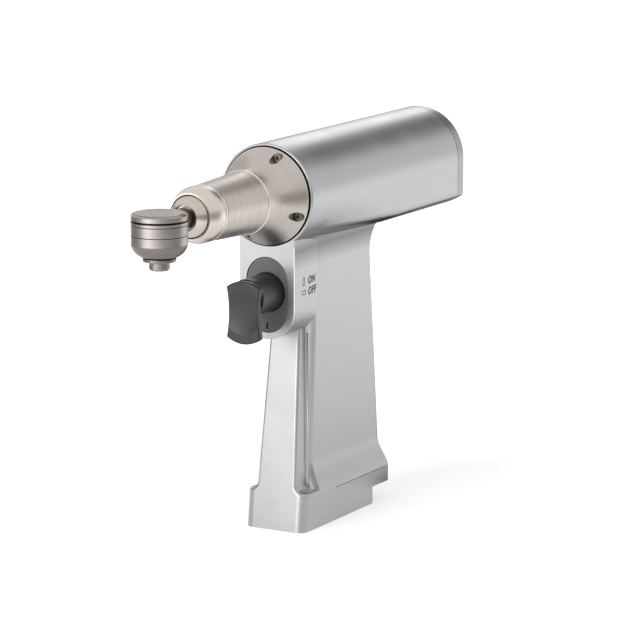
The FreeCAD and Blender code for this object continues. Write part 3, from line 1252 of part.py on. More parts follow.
def motor_leads():
    """Three wires from the power stage, along the channel under the motor, to the sensor board."""
    channel_z = -MOTOR_BORE_R - 0.75
    turn_y = REAR_BELL_END_Y + LOCK_RING_LENGTH + 3.0
    board_z = -BOARD_POST_CIRCLE_R - 1.0
    wires = []
    for step in (-1, 0, 1):
        x = step * 1.6
        wires.append(lead([
            V(x, WIRE_HOLE_Y, DRIVER_TOP_Z), V(x, WIRE_HOLE_Y, channel_z), V(x, turn_y, channel_z),
            V(x, turn_y, board_z), V(x, BOARD_FRONT_Y + BOARD_THICKNESS, board_z)], MOTOR_LEAD_R))
    return Part.makeCompound(wires)


def battery_leads():
    return Part.makeCompound([rod_z(0.9, BLOCK_TOP_Z, DRIVER_LOW_Z, side * 3.5, CONTACT_Y[1])
                              for side in (-1, 1)])


def contact_block():
    """The insulator in the foot's roof that holds the battery contacts."""
    body = block(-BLOCK_HALF, BLOCK_HALF, BLOCK_FRONT_Y, BLOCK_REAR_Y, NOTCH_Z, BLOCK_TOP_Z)
    cuts = []
    for y in CONTACT_Y:
        cuts.append(rod_z(CONTACT_R + FIT, NOTCH_Z - 1, BLOCK_TOP_Z + 1, 0, y))
    for side in (-1, 1):
        x = side * BLOCK_SCREW_X
        cuts.append(rod_z(SCREW_R + FIT, NOTCH_Z - 1, BLOCK_TOP_Z + 1, x, BLOCK_SCREW_Y))
        cuts.append(rod_z(SCREW_HEAD_R + 0.15, NOTCH_Z - 1, NOTCH_Z + SCREW_HEAD_H + 0.1, x,
                          BLOCK_SCREW_Y))
    return body.cut(cuts)


def contact_pins():
    """Sprung contacts with chamfered tips."""
    pins = []
    for y in CONTACT_Y:
        pin = rod_z(CONTACT_R, NOTCH_Z - CONTACT_PROUD, BLOCK_TOP_Z, 0, y)
        tip = edges_at(pin, lambda m, e: e.Closed and m.z < NOTCH_Z)
        pins.append(pin.makeChamfer(CONTACT_TIP_CHAMFER, tip))
    return Part.makeCompound(pins)


def contact_screws():
    seat = NOTCH_Z + SCREW_HEAD_H + 0.1
    return Part.makeCompound([
        screw_at(V(side * BLOCK_SCREW_X, BLOCK_SCREW_Y, seat), Z_AXIS, BLOCK_SCREW_TIP_Z - seat)
        for side in (-1, 1)])


# Rear cover


def rear_cover():
    """The cap on the barrel's open end, with a hollow sealing spigot."""
    plate = Part.Face(tombstone(BARREL_LENGTH)).extrude(V(0, COVER_THICKNESS, 0))
    outer = BARREL_LENGTH + COVER_THICKNESS
    plate = plate.makeFillet(COVER_EDGE_R, edges_at(plate, lambda m, e: abs(m.y - outer) < 0.01))
    rim = MOTOR_BORE_R - FIT
    floor = COVER_O_RING_FLOOR_R
    half = COVER_O_RING_HALF
    front = BARREL_LENGTH - COVER_SPIGOT
    spigot = turned_y(
        (rim - COVER_SPIGOT_WALL, BARREL_LENGTH), (rim - COVER_SPIGOT_WALL, front), (rim, front),
        (rim, COVER_O_RING_Y - half), (floor, COVER_O_RING_Y - half),
        (floor, COVER_O_RING_Y + half), (rim, COVER_O_RING_Y + half), (rim, BARREL_LENGTH))
    cuts = []
    for side in (-1, 1):
        x = side * COVER_SCREW_X
        cuts.append(rod_y(SCREW_R + 0.15, BARREL_LENGTH - 1, outer + 1, x, COVER_SCREW_Z))
        cuts.append(rod_y(SCREW_HEAD_R + 0.25, COVER_SCREW_SEAT_Y, outer + 1, x, COVER_SCREW_Z))
    return plate.fuse(spigot).cut(cuts)


def rear_cover_seal():
    """The sealing ring on the cap's spigot, of square section."""
    half = COVER_O_RING_HALF - JOINT_GAP
    return ring(COVER_O_RING_FLOOR_R + SEAL_FIT, MOTOR_BORE_R - SEAL_FIT, COVER_O_RING_Y - half,
                COVER_O_RING_Y + half)


def rear_cover_screws():
    length = COVER_SCREW_SEAT_Y - COVER_SCREW_TIP_Y
    return Part.makeCompound([screw_at(V(side * COVER_SCREW_X, COVER_SCREW_SEAT_Y, COVER_SCREW_Z),
                                       V(0, -1, 0), length) for side in (-1, 1)])


MAKERS = [
    main_housing, rear_cover, rear_cover_seal, rear_cover_screws,
    nose_housing, nose_collar, nose_seal, nose_screws, index_balls, index_spring, head_clip,
    drive_bearings, bearing_spacer, bearing_retainer,
    motor_stator, motor_windings, motor_front_bell, motor_rear_bell, motor_bearings,
    position_board, motor_lock_ring,
    trigger_bezel, trigger_seal, trigger_guide, detent_ball, detent_spring, trigger_sensor,
    trigger_spring, control_board, motor_driver, motor_leads, battery_leads,
    contact_block, contact_pins, contact_screws,
    rotor_shaft, rotor_magnet, balance_rings, sensor_magnet, drive_coupling, drive_shaft,
    crank_sleeve,
    head_housing, head_shank, head_bowl, head_bearings, head_bearing_spacer, head_seal,
    button_spring, release_button,
    blade_shaft, blade_flange, drive_pins, clamp_spring, clamp_rod, clamp_nut,
    selector_sleeve, trigger_stem, trigger_head, trigger_magnet,
]


def place(shape):
    """From the barrel's axis to the foot: the origin is in the battery face, midway along the slide."""
    shape = shape.copy()
    shape.translate(V(0, -ORIGIN_Y, AXIS_HEIGHT))
    return shape


def main():
    os.makedirs("parts", exist_ok=True)
    for maker in MAKERS:
        place(maker()).exportStep("parts/" + maker.__name__ + ".step")


main()
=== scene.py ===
import math

import bmesh
import bpy
from mathutils import Matrix, Vector


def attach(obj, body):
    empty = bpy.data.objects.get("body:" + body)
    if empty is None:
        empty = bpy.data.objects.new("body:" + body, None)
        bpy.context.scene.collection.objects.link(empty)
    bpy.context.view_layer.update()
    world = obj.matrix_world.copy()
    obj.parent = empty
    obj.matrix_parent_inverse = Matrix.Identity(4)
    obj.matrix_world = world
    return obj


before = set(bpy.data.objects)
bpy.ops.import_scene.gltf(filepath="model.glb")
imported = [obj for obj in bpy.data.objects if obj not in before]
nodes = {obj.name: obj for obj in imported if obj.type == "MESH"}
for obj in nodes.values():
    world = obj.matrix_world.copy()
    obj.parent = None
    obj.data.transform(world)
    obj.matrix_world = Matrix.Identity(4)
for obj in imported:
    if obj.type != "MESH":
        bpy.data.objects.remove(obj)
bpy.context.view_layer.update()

# Metres, in the shared frame: +Z up, the nose towards -Y, the marks on the +X side.
AXIS_Z = 0.124
FACE_Y = -0.0299
HEAD_Y = -0.1019
BARREL_AXIS = (0, 0, AXIS_Z)
DRUM_AXIS = (0, HEAD_Y, 0)
X, Y, Z = range(3)

# The boss's +X side leans inwards towards the rear: half its width in front, and at its end.
BOSS_HALF = 0.0112
GRIP_HALF = 0.0092
BOSS_DEPTH = 0.021

# Sockets of a colour mix.
MIX_FACTOR = 0
MIX_FIRST = 6
MIX_SECOND = 7
MIX_RESULT = 2

scene = bpy.context.scene
scene.view_settings.view_transform = "Standard"


# Nodes of a finish


class Finish:
    """One material: its shader, and the few nodes that its pattern is made of."""

    def __init__(self, name):
        self.material = bpy.data.materials.new(name)
        self.material.use_nodes = True
        self.tree = self.material.node_tree
        self.shader = self.tree.nodes["Principled BSDF"]
        self.place = self.tree.nodes.new("ShaderNodeTexCoord").outputs["Object"]

    def node(self, kind, **settings):
        made = self.tree.nodes.new(kind)
        for key, value in settings.items():
            setattr(made, key, value)
        return made

    def link(self, source, target):
        self.tree.links.new(source, target)

    def feed(self, socket, source):
        """A socket of the shader follows a pattern."""
        self.link(source, self.shader.inputs[socket])

    def mapped(self, scale, centre=(0, 0, 0)):
        """The place, measured from a centre and scaled along each axis."""
        mapping = self.node("ShaderNodeMapping")
        mapping.inputs["Location"].default_value = [-at * by for at, by in zip(centre, scale)]
        mapping.inputs["Scale"].default_value = scale
        self.link(self.place, mapping.inputs["Vector"])
        return mapping.outputs["Vector"]

    def noise(self, vector, scale, detail, roughness=0.5):
        made = self.node("ShaderNodeTexNoise")
        made.inputs["Scale"].default_value = scale
        made.inputs["Detail"].default_value = detail
        made.inputs["Roughness"].default_value = roughness
        self.link(vector, made.inputs["Vector"])
        return made.outputs["Fac"]

    def between(self, factor, low, high, start=0.3, end=0.7):
        """A value that runs from low to high as the factor runs from start to end."""
        made = self.node("ShaderNodeMapRange")
        made.inputs["From Min"].default_value = start
        made.inputs["From Max"].default_value = end
        made.inputs["To Min"].default_value = low
        made.inputs["To Max"].default_value = high
        self.link(factor, made.inputs["Value"])
        return made.outputs["Result"]

    def colours(self, factor, stops):
        """A colour ramp; stops are (position, (r, g, b))."""
        ramp = self.node("ShaderNodeValToRGB")
        band = ramp.color_ramp
        while len(band.elements) < len(stops):
            band.elements.new(0.5)
        for element, (position, colour) in zip(band.elements, stops):
            element.position = position
            element.color = (*colour, 1)
        self.link(factor, ramp.inputs["Fac"])
        return ramp.outputs["Color"]

    def tones(self, factor, colour, darker, lighter):
        """The colour, from a darker to a lighter tone of it."""
        return self.colours(factor, [(0.3, tint(colour, darker)), (0.7, tint(colour, lighter))])

    def along(self, axis):
        """The place along one axis."""
        split = self.node("ShaderNodeSeparateXYZ")
        self.link(self.place, split.inputs["Vector"])
        return split.outputs[axis]

    def radius(self, axis, centre):
        """The distance from a line along one axis."""
        flat = [1, 1, 1]
        flat[axis] = 0
        length = self.node("ShaderNodeVectorMath", operation="LENGTH")
        self.link(self.mapped(flat, centre), length.inputs[0])
        return length.outputs["Value"]

    def near(self, value, middle, half):
        """1 where the value lies within half of the middle."""
        gap = self.node("ShaderNodeMath", operation="COMPARE")
        self.link(value, gap.inputs[0])
        gap.inputs[1].default_value = middle
        gap.inputs[2].default_value = half
        return gap.outputs["Value"]

    def times(self, first, second):
        both = self.node("ShaderNodeMath", operation="MULTIPLY")
        self.link(first, both.inputs[0])
        self.link(second, both.inputs[1])
        return both.outputs["Value"]

    def over_base(self, mask, blend):
        """Mixes something over the base colour where the mask is 1, and returns the socket for it."""
        mix = self.node("ShaderNodeMix", data_type="RGBA", blend_type=blend)
        base = self.shader.inputs["Base Color"].links[0].from_socket
        self.link(mask, mix.inputs[MIX_FACTOR])
        self.link(base, mix.inputs[MIX_FIRST])
        self.feed("Base Color", mix.outputs[MIX_RESULT])
        return mix.inputs[MIX_SECOND]

    def recolour(self, mask, colour):
        self.over_base(mask, "MIX").default_value = (*colour, 1)

    def darken(self, mask, tone):
        self.link(tone, self.over_base(mask, "MULTIPLY"))

    def bump(self, height, strength, distance):
        made = self.node("ShaderNodeBump")
        made.inputs["Strength"].default_value = strength
        made.inputs["Distance"].default_value = distance
        self.link(height, made.inputs["Height"])
        self.feed("Normal", made.outputs["Normal"])


def tint(colour, factor):
    return tuple(min(1.0, part * factor) for part in colour)


# Kinds of finish. Noise scales are in features per metre, and depths in metres. LAYER_SPACING is how far
# apart a wave texture's bands stand at a scale of 1.

BLAST_CLOUDS = 55
BLAST_GRAIN = 4200
BLAST_DEPTH = 0.00006
TURNED_RINGS = 5200
TURNED_BANDS = 700
TURNED_ROUND = 60
FACED_BANDS = 900
TURNED_DEPTH = 0.00004
MOULD_CLOUDS = 120
MOULD_DEPTH = 0.00005
LAYER_DEPTH = 0.00005
LAYER_SPACING = 0.314
BOARD_BRICKS = 260
BOARD_DEPTH = 0.00003


def blasted_metal(name, colour, roughness):
    """Bead-blasted and anodised: soft clouds in tone and gloss, and a very fine grain."""
    finish = Finish(name)
    clouds = finish.noise(finish.place, BLAST_CLOUDS, 3)
    finish.feed("Base Color", finish.tones(clouds, colour, 0.965, 1.03))
    finish.feed("Roughness", finish.between(clouds, roughness - 0.03, roughness + 0.03))
    finish.shader.inputs["Metallic"].default_value = 1.0
    finish.bump(finish.noise(finish.place, BLAST_GRAIN, 2), 0.22, BLAST_DEPTH)
    return finish


def turned_metal(name, colour, roughness, axis, centre=(0, 0, 0), face=False):
    """Turned on a lathe: fine rings about an axis, or round tool marks on a face."""
    finish = Finish(name)
    if face:
        outwards = finish.node("ShaderNodeCombineXYZ")
        finish.link(finish.radius(axis, centre), outwards.inputs["X"])
        rings = finish.noise(outwards.outputs["Vector"], TURNED_RINGS, 3, 0.6)
        bands = finish.noise(outwards.outputs["Vector"], FACED_BANDS, 2)
    else:
        scale = [TURNED_ROUND] * 3
        scale[axis] = TURNED_RINGS
        rings = finish.noise(finish.mapped(scale, centre), 1, 3, 0.6)
        scale[axis] = TURNED_BANDS
        bands = finish.noise(finish.mapped(scale, centre), 1, 2)
    finish.feed("Base Color", finish.tones(bands, colour, 0.95, 1.05))
    finish.feed("Roughness", finish.between(rings, roughness - 0.05, roughness + 0.06))
    finish.shader.inputs["Metallic"].default_value = 1.0
    finish.bump(rings, 0.12, TURNED_DEPTH)
    return finish


def moulded(name, colour, roughness, grain=2600):
    """Moulded plastic or rubber with a fine even grain and slightly uneven tone."""
    finish = Finish(name)
    clouds = finish.noise(finish.place, MOULD_CLOUDS, 3)
    finish.feed("Base Color", finish.tones(clouds, colour, 0.88, 1.12))
    finish.feed("Roughness", finish.between(clouds, roughness - 0.05, roughness + 0.05))
    finish.bump(finish.noise(finish.place, grain, 2), 0.25, MOULD_DEPTH)
    return finish


def layered(name, dark, light, axis, pitch, metallic, roughness):
    """Even fine bands across one axis, for sheet stacks, wound wire and wire covers."""
    finish = Finish(name)
    wave = finish.node("ShaderNodeTexWave", wave_type="BANDS", bands_direction="XYZ"[axis])
    wave.inputs["Scale"].default_value = LAYER_SPACING / pitch
    wave.inputs["Distortion"].default_value = 0.3
    finish.link(finish.place, wave.inputs["Vector"])
    bands = wave.outputs["Fac"]
    finish.feed("Base Color", finish.colours(bands, [(0.2, dark), (0.7, light)]))
    finish.feed("Roughness", finish.between(bands, roughness + 0.1, roughness, 0.0, 1.0))
    finish.shader.inputs["Metallic"].default_value = metallic
    finish.bump(bands, 0.3, LAYER_DEPTH)
    return finish


def laminate(name):
    """Green lacquered circuit board with faint copper runs under the lacquer."""
    finish = Finish(name)
    bricks = finish.node("ShaderNodeTexBrick")
    bricks.inputs["Scale"].default_value = BOARD_BRICKS
    bricks.inputs["Mortar Size"].default_value = 0.03
    bricks.inputs["Color1"].default_value = (0.02, 0.16, 0.08, 1)
    bricks.inputs["Color2"].default_value = (0.03, 0.2, 0.1, 1)
    bricks.inputs["Mortar"].default_value = (0.1, 0.32, 0.16, 1)
    finish.link(finish.place, bricks.inputs["Vector"])
    finish.feed("Base Color", bricks.outputs["Color"])
    finish.shader.inputs["Roughness"].default_value = 0.25
    finish.bump(bricks.outputs["Fac"], 0.2, BOARD_DEPTH)
    return finish


# Finishes

SILVER = (0.43, 0.435, 0.44)
COVER_GREY = (0.36, 0.35, 0.335)
CHAMPAGNE = (0.52, 0.475, 0.435)
DOME_CHAMPAGNE = (0.56, 0.505, 0.455)
BOWL_GREY = (0.20, 0.182, 0.17)
DRUM_GREY = (0.36, 0.33, 0.31)
FLANGE_GREY = (0.22, 0.21, 0.2)
SCREW_GREY = (0.15, 0.14, 0.13)
STEEL = (0.5, 0.5, 0.51)
BELL_ALUMINIUM = (0.6, 0.6, 0.62)
BRASS = (0.66, 0.48, 0.2)
NICKEL = (0.36, 0.36, 0.38)
GOLD = (0.85, 0.62, 0.26)
TRIGGER_BLACK = (0.026, 0.027, 0.029)
BEZEL_GREY = (0.155, 0.15, 0.145)
BUSH_GREY = (0.12, 0.12, 0.125)
CONTACT_BLACK = (0.03, 0.03, 0.033)
RESIN_BLACK = (0.03, 0.03, 0.032)
RUBBER_BLACK = (0.012, 0.012, 0.012)
INK_BLACK = (0.02, 0.02, 0.021)

silver_casting = blasted_metal("silver_casting", SILVER, 0.35)
cover_casting = blasted_metal("cover_casting", COVER_GREY, 0.35)
nose_turning = turned_metal("nose_turning", CHAMPAGNE, 0.33, Y)
collar_turning = turned_metal("collar_turning", tint(CHAMPAGNE, 1.25), 0.30, Y)
dome_turning = turned_metal("dome_turning", DOME_CHAMPAGNE, 0.27, Y)
drum_turning = turned_metal("drum_turning", DRUM_GREY, 0.30, Z, DRUM_AXIS)
bowl_turning = turned_metal("bowl_turning", BOWL_GREY, 0.34, Z, DRUM_AXIS)
button_facing = turned_metal("button_facing", tint(DRUM_GREY, 1.2), 0.24, Z, DRUM_AXIS, face=True)
flange_turning = turned_metal("flange_turning", FLANGE_GREY, 0.35, Z, DRUM_AXIS)
clamp_turning = turned_metal("clamp_turning", tint(DRUM_GREY, 0.7), 0.3, Z, DRUM_AXIS)
screw_turning = turned_metal("screw_turning", SCREW_GREY, 0.32, Y)
ground_steel = turned_metal("ground_steel", STEEL, 0.25, Y)
bell_turning = turned_metal("bell_turning", BELL_ALUMINIUM, 0.35, Y)
balance_turning = turned_metal("balance_turning", BRASS, 0.3, Y)
magnet_plating = turned_metal("magnet_plating", NICKEL, 0.3, Y)
contact_plating = turned_metal("contact_plating", GOLD, 0.22, Z)
sheet_stack = layered("sheet_stack", (0.1, 0.1, 0.11), (0.3, 0.3, 0.32), Y, 0.0005, 0.9, 0.4)
wound_copper = layered("wound_copper", (0.28, 0.1, 0.04), (0.6, 0.26, 0.12), X, 0.0006, 0.8, 0.35)
lead_cover = layered("lead_cover", (0.16, 0.015, 0.012), (0.3, 0.03, 0.025), Y, 0.002, 0.0, 0.5)
trigger_moulding = moulded("trigger_moulding", TRIGGER_BLACK, 0.32)
bezel_moulding = moulded("bezel_moulding", BEZEL_GREY, 0.5)
bush_moulding = moulded("bush_moulding", BUSH_GREY, 0.45)
contact_moulding = moulded("contact_moulding", CONTACT_BLACK, 0.5)
potting_resin = moulded("potting_resin", RESIN_BLACK, 0.35, 500)
seal_rubber = moulded("seal_rubber", RUBBER_BLACK, 0.6, 1800)
board_laminate = laminate("board_laminate")
mark_ink = moulded("mark_ink", INK_BLACK, 0.5)


# Painted lines in the finishes: painted shade in seams and grooves, painted highlights on turned edges. Each
# is a middle and half a width.

# Painted shade, black, for seams and gaps between parts.
PAINTED_SEAM_SHADE = (0.012, 0.012, 0.012)
PAINTED_GROOVE_SHADE = (0.035, 0.03, 0.027)
PAINTED_NECK_SHADE = (0.13, 0.09, 0.07)
FOOT_LINE_GREY = (0.11, 0.11, 0.112)
# Painted highlights for bright edges, silver and champagne.
PAINTED_SILVER_HIGHLIGHT = (0.9, 0.91, 0.92)
PAINTED_CHAMPAGNE_HIGHLIGHT = (0.8, 0.77, 0.73)

BOSS_EDGE_Y = (FACE_Y + 0.0003, 0.00028)
BOSS_EDGE_Z = (0.08, 0.0262)
FOOT_LINE_Z = (0.0123, 0.00014)
FOOT_LINE_Y = (0.0185, 0.0195)
FLANGE_SEAT_R = (0, 0.0183)
FLANGE_SEAT_Y = (FACE_Y + 0.00085, 0.0008)
FLANGE_EDGE_R = (0.01775, 0.00006)
FLARE_END_Y = (FACE_Y - 0.0173, 0.00018)
COLLAR_EDGE_Y = (FACE_Y - 0.0431, 0.0004)
BUTTON_SEAM_Z = (AXIS_Z + 0.0017, 0.00037)
UPPER_GROOVE_Z = (AXIS_Z + 0.00025, 0.00012)
LOWER_GROOVE_Z = (AXIS_Z - 0.0033, 0.00012)
NECK_Y = (HEAD_Y + 0.0299, 0.02)
BUTTON_EDGE_R = (0.0089, 0.00012)
COVER_SEAM_Y = (FACE_Y + 0.1125, 0.0003)
STEM_AXIS = (0, 0, AXIS_Z - 0.0349)
STEM_SEAM_R = (0.0071, 0.0003)

# The painted soft shade under the barrel: from its lower to its upper end, and tones along the way.
SHADE_LOW_Z = AXIS_Z - 0.027
SHADE_HIGH_Z = AXIS_Z - 0.012
PAINTED_SHADE_TONES = ((0, (1, 1, 1)), (0.48, (0.42, 0.42, 0.42)), (1, (1, 1, 1)))
SHADE_START_Y = FACE_Y + 0.0002
SHADE_FULL_Y = FACE_Y + 0.001


def shade_casting(finish):
    """Painted soft shade under the barrel, a painted highlight round the boss, a dark line along the foot,
    painted shade in the flange's seat.
    """
    y, z = finish.along(Y), finish.along(Z)
    # Painted shade: darker tones partway up under the barrel, behind the boss's face.
    rise = finish.between(z, 0, 1, SHADE_LOW_Z, SHADE_HIGH_Z)
    behind_face = finish.between(y, 0, 1, SHADE_START_Y, SHADE_FULL_Y)
    finish.darken(behind_face, finish.colours(rise, PAINTED_SHADE_TONES))
    # A painted highlight along the edge round the boss's face.
    finish.recolour(finish.times(finish.near(y, *BOSS_EDGE_Y), finish.near(z, *BOSS_EDGE_Z)), PAINTED_SILVER_HIGHLIGHT)
    # A thin dark grey line painted along the foot's side.
    finish.recolour(finish.times(finish.near(z, *FOOT_LINE_Z), finish.near(y, *FOOT_LINE_Y)), FOOT_LINE_GREY)
    # Painted shade in the gap of the flange's seat.
    seat = finish.near(finish.radius(Y, BARREL_AXIS), *FLANGE_SEAT_R)
    finish.recolour(finish.times(seat, finish.near(y, *FLANGE_SEAT_Y)), PAINTED_SEAM_SHADE)


def shade_nose(finish):
    """Painted shade on the rim of the flange, and a painted highlight on the edge where its hollow flare
    ends.
    """
    # Painted shade on the flange's rim, then a painted highlight where the flare ends.
    finish.recolour(finish.near(finish.radius(Y, BARREL_AXIS), *FLANGE_EDGE_R), PAINTED_SEAM_SHADE)
    finish.recolour(finish.near(finish.along(Y), *FLARE_END_Y), PAINTED_CHAMPAGNE_HIGHLIGHT)


def shade_drum(finish):
    """Painted shade in the drum's three grooves, and painted shade on its neck tube."""
    # Painted shade in the button's seam and in the two grooves.
    for line, shade in ((BUTTON_SEAM_Z, PAINTED_SEAM_SHADE), (UPPER_GROOVE_Z, PAINTED_GROOVE_SHADE),
                        (LOWER_GROOVE_Z, PAINTED_GROOVE_SHADE)):
        finish.recolour(finish.near(finish.along(Z), *line), shade)
    # Painted shade on the neck tube between the drum and the dome.
    finish.recolour(finish.near(finish.along(Y), *NECK_Y), PAINTED_NECK_SHADE)


shade_casting(silver_casting)
shade_nose(nose_turning)
shade_drum(drum_turning)
# Painted shade in the gap round the trigger stem.
bezel_moulding.recolour(bezel_moulding.near(bezel_moulding.radius(Y, STEM_AXIS), *STEM_SEAM_R), PAINTED_SEAM_SHADE)
# A painted highlight on the collar's edge.
collar_turning.recolour(collar_turning.near(collar_turning.along(Y), *COLLAR_EDGE_Y), PAINTED_CHAMPAGNE_HIGHLIGHT)
# Painted shade in the gap round the button's edge.
button_facing.recolour(button_facing.near(button_facing.radius(Z, DRUM_AXIS), *BUTTON_EDGE_R), PAINTED_SEAM_SHADE)
# Painted shade in the rear cover's seam.
cover_casting.recolour(cover_casting.near(cover_casting.along(Y), *COVER_SEAM_Y), PAINTED_SEAM_SHADE)

WEARS = {
    silver_casting: ["main_housing"],
    cover_casting: ["rear_cover"],
    nose_turning: ["nose_housing"],
    collar_turning: ["nose_collar"],
    dome_turning: ["head_shank"],
    drum_turning: ["head_housing"],
    bowl_turning: ["head_bowl"],
    button_facing: ["release_button"],
    flange_turning: ["blade_flange", "drive_pins", "blade_shaft", "button_spring"],
    clamp_turning: ["clamp_rod", "clamp_nut", "clamp_spring"],
    screw_turning: ["nose_screws", "rear_cover_screws", "contact_screws"],
    ground_steel: ["index_balls", "index_spring", "head_clip", "drive_bearings", "bearing_spacer",
                   "bearing_retainer", "motor_bearings", "detent_ball", "detent_spring",
                   "trigger_spring", "rotor_shaft", "drive_coupling", "drive_shaft", "crank_sleeve",
                   "head_bearings", "head_bearing_spacer"],
    bell_turning: ["motor_front_bell", "motor_rear_bell", "motor_lock_ring"],
    balance_turning: ["balance_rings"],
    magnet_plating: ["rotor_magnet", "sensor_magnet", "trigger_magnet"],
    contact_plating: ["contact_pins"],
    sheet_stack: ["motor_stator"],
    wound_copper: ["motor_windings"],
    lead_cover: ["motor_leads", "battery_leads"],
    trigger_moulding: ["trigger_stem", "trigger_head"],
    bezel_moulding: ["trigger_bezel"],
    bush_moulding: ["selector_sleeve", "trigger_guide"],
    contact_moulding: ["contact_block"],
    potting_resin: ["motor_driver", "trigger_sensor"],
    seal_rubber: ["rear_cover_seal", "nose_seal", "head_seal", "trigger_seal"],
    board_laminate: ["control_board", "position_board"],
}
for finish, names in WEARS.items():
    for name in names:
        slots = nodes[name].material_slots
        if not slots:
            nodes[name].data.materials.append(finish.material)
        for holder in slots:
            holder.material = finish.material


# Marks beside the trigger: an upright slot with ON, a lying slot with OFF

MARK_HEIGHT = 0.00004
ON_Z = AXIS_Z - 0.0316
OFF_Z = AXIS_Z - 0.0356
SLOT_BACK = 0.00866
SLOT_LENGTH = 0.0033
SLOT_WIDTH = 0.0017
SLOT_LINE = 0.0003
HALF_TURN_STEPS = 12
WORD_BACK = 0.0122
WORD_DROP = 0.0013
LETTER_HEIGHT = 0.0027
FONT_SIZE = LETTER_HEIGHT * 1.4
FONT_SLANT = 0.2
FONT_SPACING = 1.08
STROKE_GROWTH = LETTER_HEIGHT * 0.045


def add_object(name, data):
    made = bpy.data.objects.new(name, data)
    scene.collection.objects.link(made)
    return made


def mesh_from(shape, name, material):
    mesh = bpy.data.meshes.new(name)
    shape.to_mesh(mesh)
    shape.free()
    mesh.materials.append(material)
    return mesh


def boss_side(back, z):
    """From a drawing plane to the boss's leaning +X side, its x running towards the rear."""
    along = Vector((GRIP_HALF - BOSS_HALF, BOSS_DEPTH, 0)).normalized()
    out = Vector((along.y, -along.x, 0))
    place = Vector((BOSS_HALF + back * along.x / along.y, FACE_Y + back, z))
    return Matrix.Translation(place) @ Matrix((along, (0, 0, 1), out)).transposed().to_4x4()


def print_mark(name, mesh):
    """A mark on the boss rides with the casting."""
    mark = add_object(name, mesh)
    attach(mark, "handpiece")


def word(name, letters, z):
    curve = bpy.data.curves.new(name, "FONT")
    curve.body = letters
    curve.size = FONT_SIZE
    curve.shear = FONT_SLANT
    curve.extrude = MARK_HEIGHT
    curve.space_character = FONT_SPACING
    curve.offset = STROKE_GROWTH
    holder = add_object(name + "_text", curve)
    bpy.context.view_layer.update()
    mesh = bpy.data.meshes.new_from_object(holder.evaluated_get(bpy.context.evaluated_depsgraph_get()))
    bpy.data.objects.remove(holder)
    mesh.transform(boss_side(WORD_BACK, z))
    mesh.name = name
    mesh.materials.clear()
    mesh.materials.append(mark_ink.material)
    print_mark(name, mesh)


def slot_outline(shape, width):
    """Edges round a slot: a half turn at each end, and the two straight sides."""
    reach = (SLOT_LENGTH - SLOT_WIDTH) / 2
    ends = []
    for side in (1, -1):
        start = shape.verts.new((side * width / 2, side * reach, 0))
        turned = bmesh.ops.spin(shape, geom=[start], cent=(0, side * reach, 0), axis=(0, 0, 1),
                                angle=math.pi, steps=HALF_TURN_STEPS)
        last = [item for item in turned["geom_last"] if isinstance(item, bmesh.types.BMVert)]
        ends.append((start, last[0]))
    (first, first_end), (second, second_end) = ends
    shape.edges.new((first_end, second))
    shape.edges.new((second_end, first))


def slot_ring(name, z, upright):
    """The outline of a round-ended slot, as a thin printed ring."""
    shape = bmesh.new()
    slot_outline(shape, SLOT_WIDTH)
    slot_outline(shape, SLOT_WIDTH - 2 * SLOT_LINE)
    bmesh.ops.bridge_loops(shape, edges=shape.edges[:])
    raised = bmesh.ops.extrude_face_region(shape, geom=shape.faces[:])
    bmesh.ops.translate(shape, vec=(0, 0, MARK_HEIGHT),
                        verts=[item for item in raised["geom"] if isinstance(item, bmesh.types.BMVert)])
    if not upright:
        quarter_turn = Matrix.Rotation(math.radians(90), 3, "Z")
        bmesh.ops.rotate(shape, cent=(0, 0, 0), matrix=quarter_turn, verts=shape.verts)
    bmesh.ops.transform(shape, matrix=boss_side(SLOT_BACK, z), verts=shape.verts)
    bmesh.ops.recalc_face_normals(shape, faces=shape.faces)
    print_mark(name, mesh_from(shape, name, mark_ink.material))


slot_ring("on_slot", ON_Z, upright=True)
slot_ring("off_slot", OFF_Z, upright=False)
word("on_word", "ON", ON_Z - WORD_DROP)
word("off_word", "OFF", OFF_Z - WORD_DROP)


# Floor and sky

FLOOR_SIZE = 6.0
FLOOR_WHITE = (0.9, 0.9, 0.9, 1)
WHITE = (1, 1, 1, 1)
BLACK = (0, 0, 0, 1)
GLOW_NEAR = 0.5
GLOW_FAR = 1.0
GLOW_START = 0.1
GLOW_END = 0.5
SKY_AS_LIGHT = 0.5
SKY_AS_SEEN = 1.0


def seen_directly(tree):
    """1 for rays that show the surroundings: to the camera, in metal and through glass."""
    path = tree.nodes.new("ShaderNodeLightPath")
    total = path.outputs["Is Camera Ray"]
    for name in ("Is Glossy Ray", "Is Transmission Ray"):
        both = tree.nodes.new("ShaderNodeMath")
        both.operation = "MAXIMUM"
        tree.links.new(total, both.inputs[0])
        tree.links.new(path.outputs[name], both.inputs[1])
        total = both.outputs["Value"]
    return total


def floor_paint():
    """Matt white that keeps a shadow near the object and fades to plain white farther out."""
    finish = Finish("studio_floor")
    finish.shader.inputs["Base Color"].default_value = FLOOR_WHITE
    finish.shader.inputs["Roughness"].default_value = 0.9
    finish.shader.inputs["Specular IOR Level"].default_value = 0.0
    away = finish.node("ShaderNodeVectorMath", operation="LENGTH")
    finish.link(finish.place, away.inputs[0])
    glow = finish.between(away.outputs["Value"], GLOW_NEAR, GLOW_FAR, GLOW_START, GLOW_END)
    finish.shader.inputs["Emission Color"].default_value = WHITE
    finish.feed("Emission Strength", finish.times(glow, seen_directly(finish.tree)))
    return finish.material


def flat_sheet(name, width, height, material):
    shape = bmesh.new()
    bmesh.ops.create_grid(shape, x_segments=1, y_segments=1, size=0.5)
    bmesh.ops.scale(shape, vec=(width, height, 1), verts=shape.verts)
    sheet = add_object(name, mesh_from(shape, name, material))
    return sheet


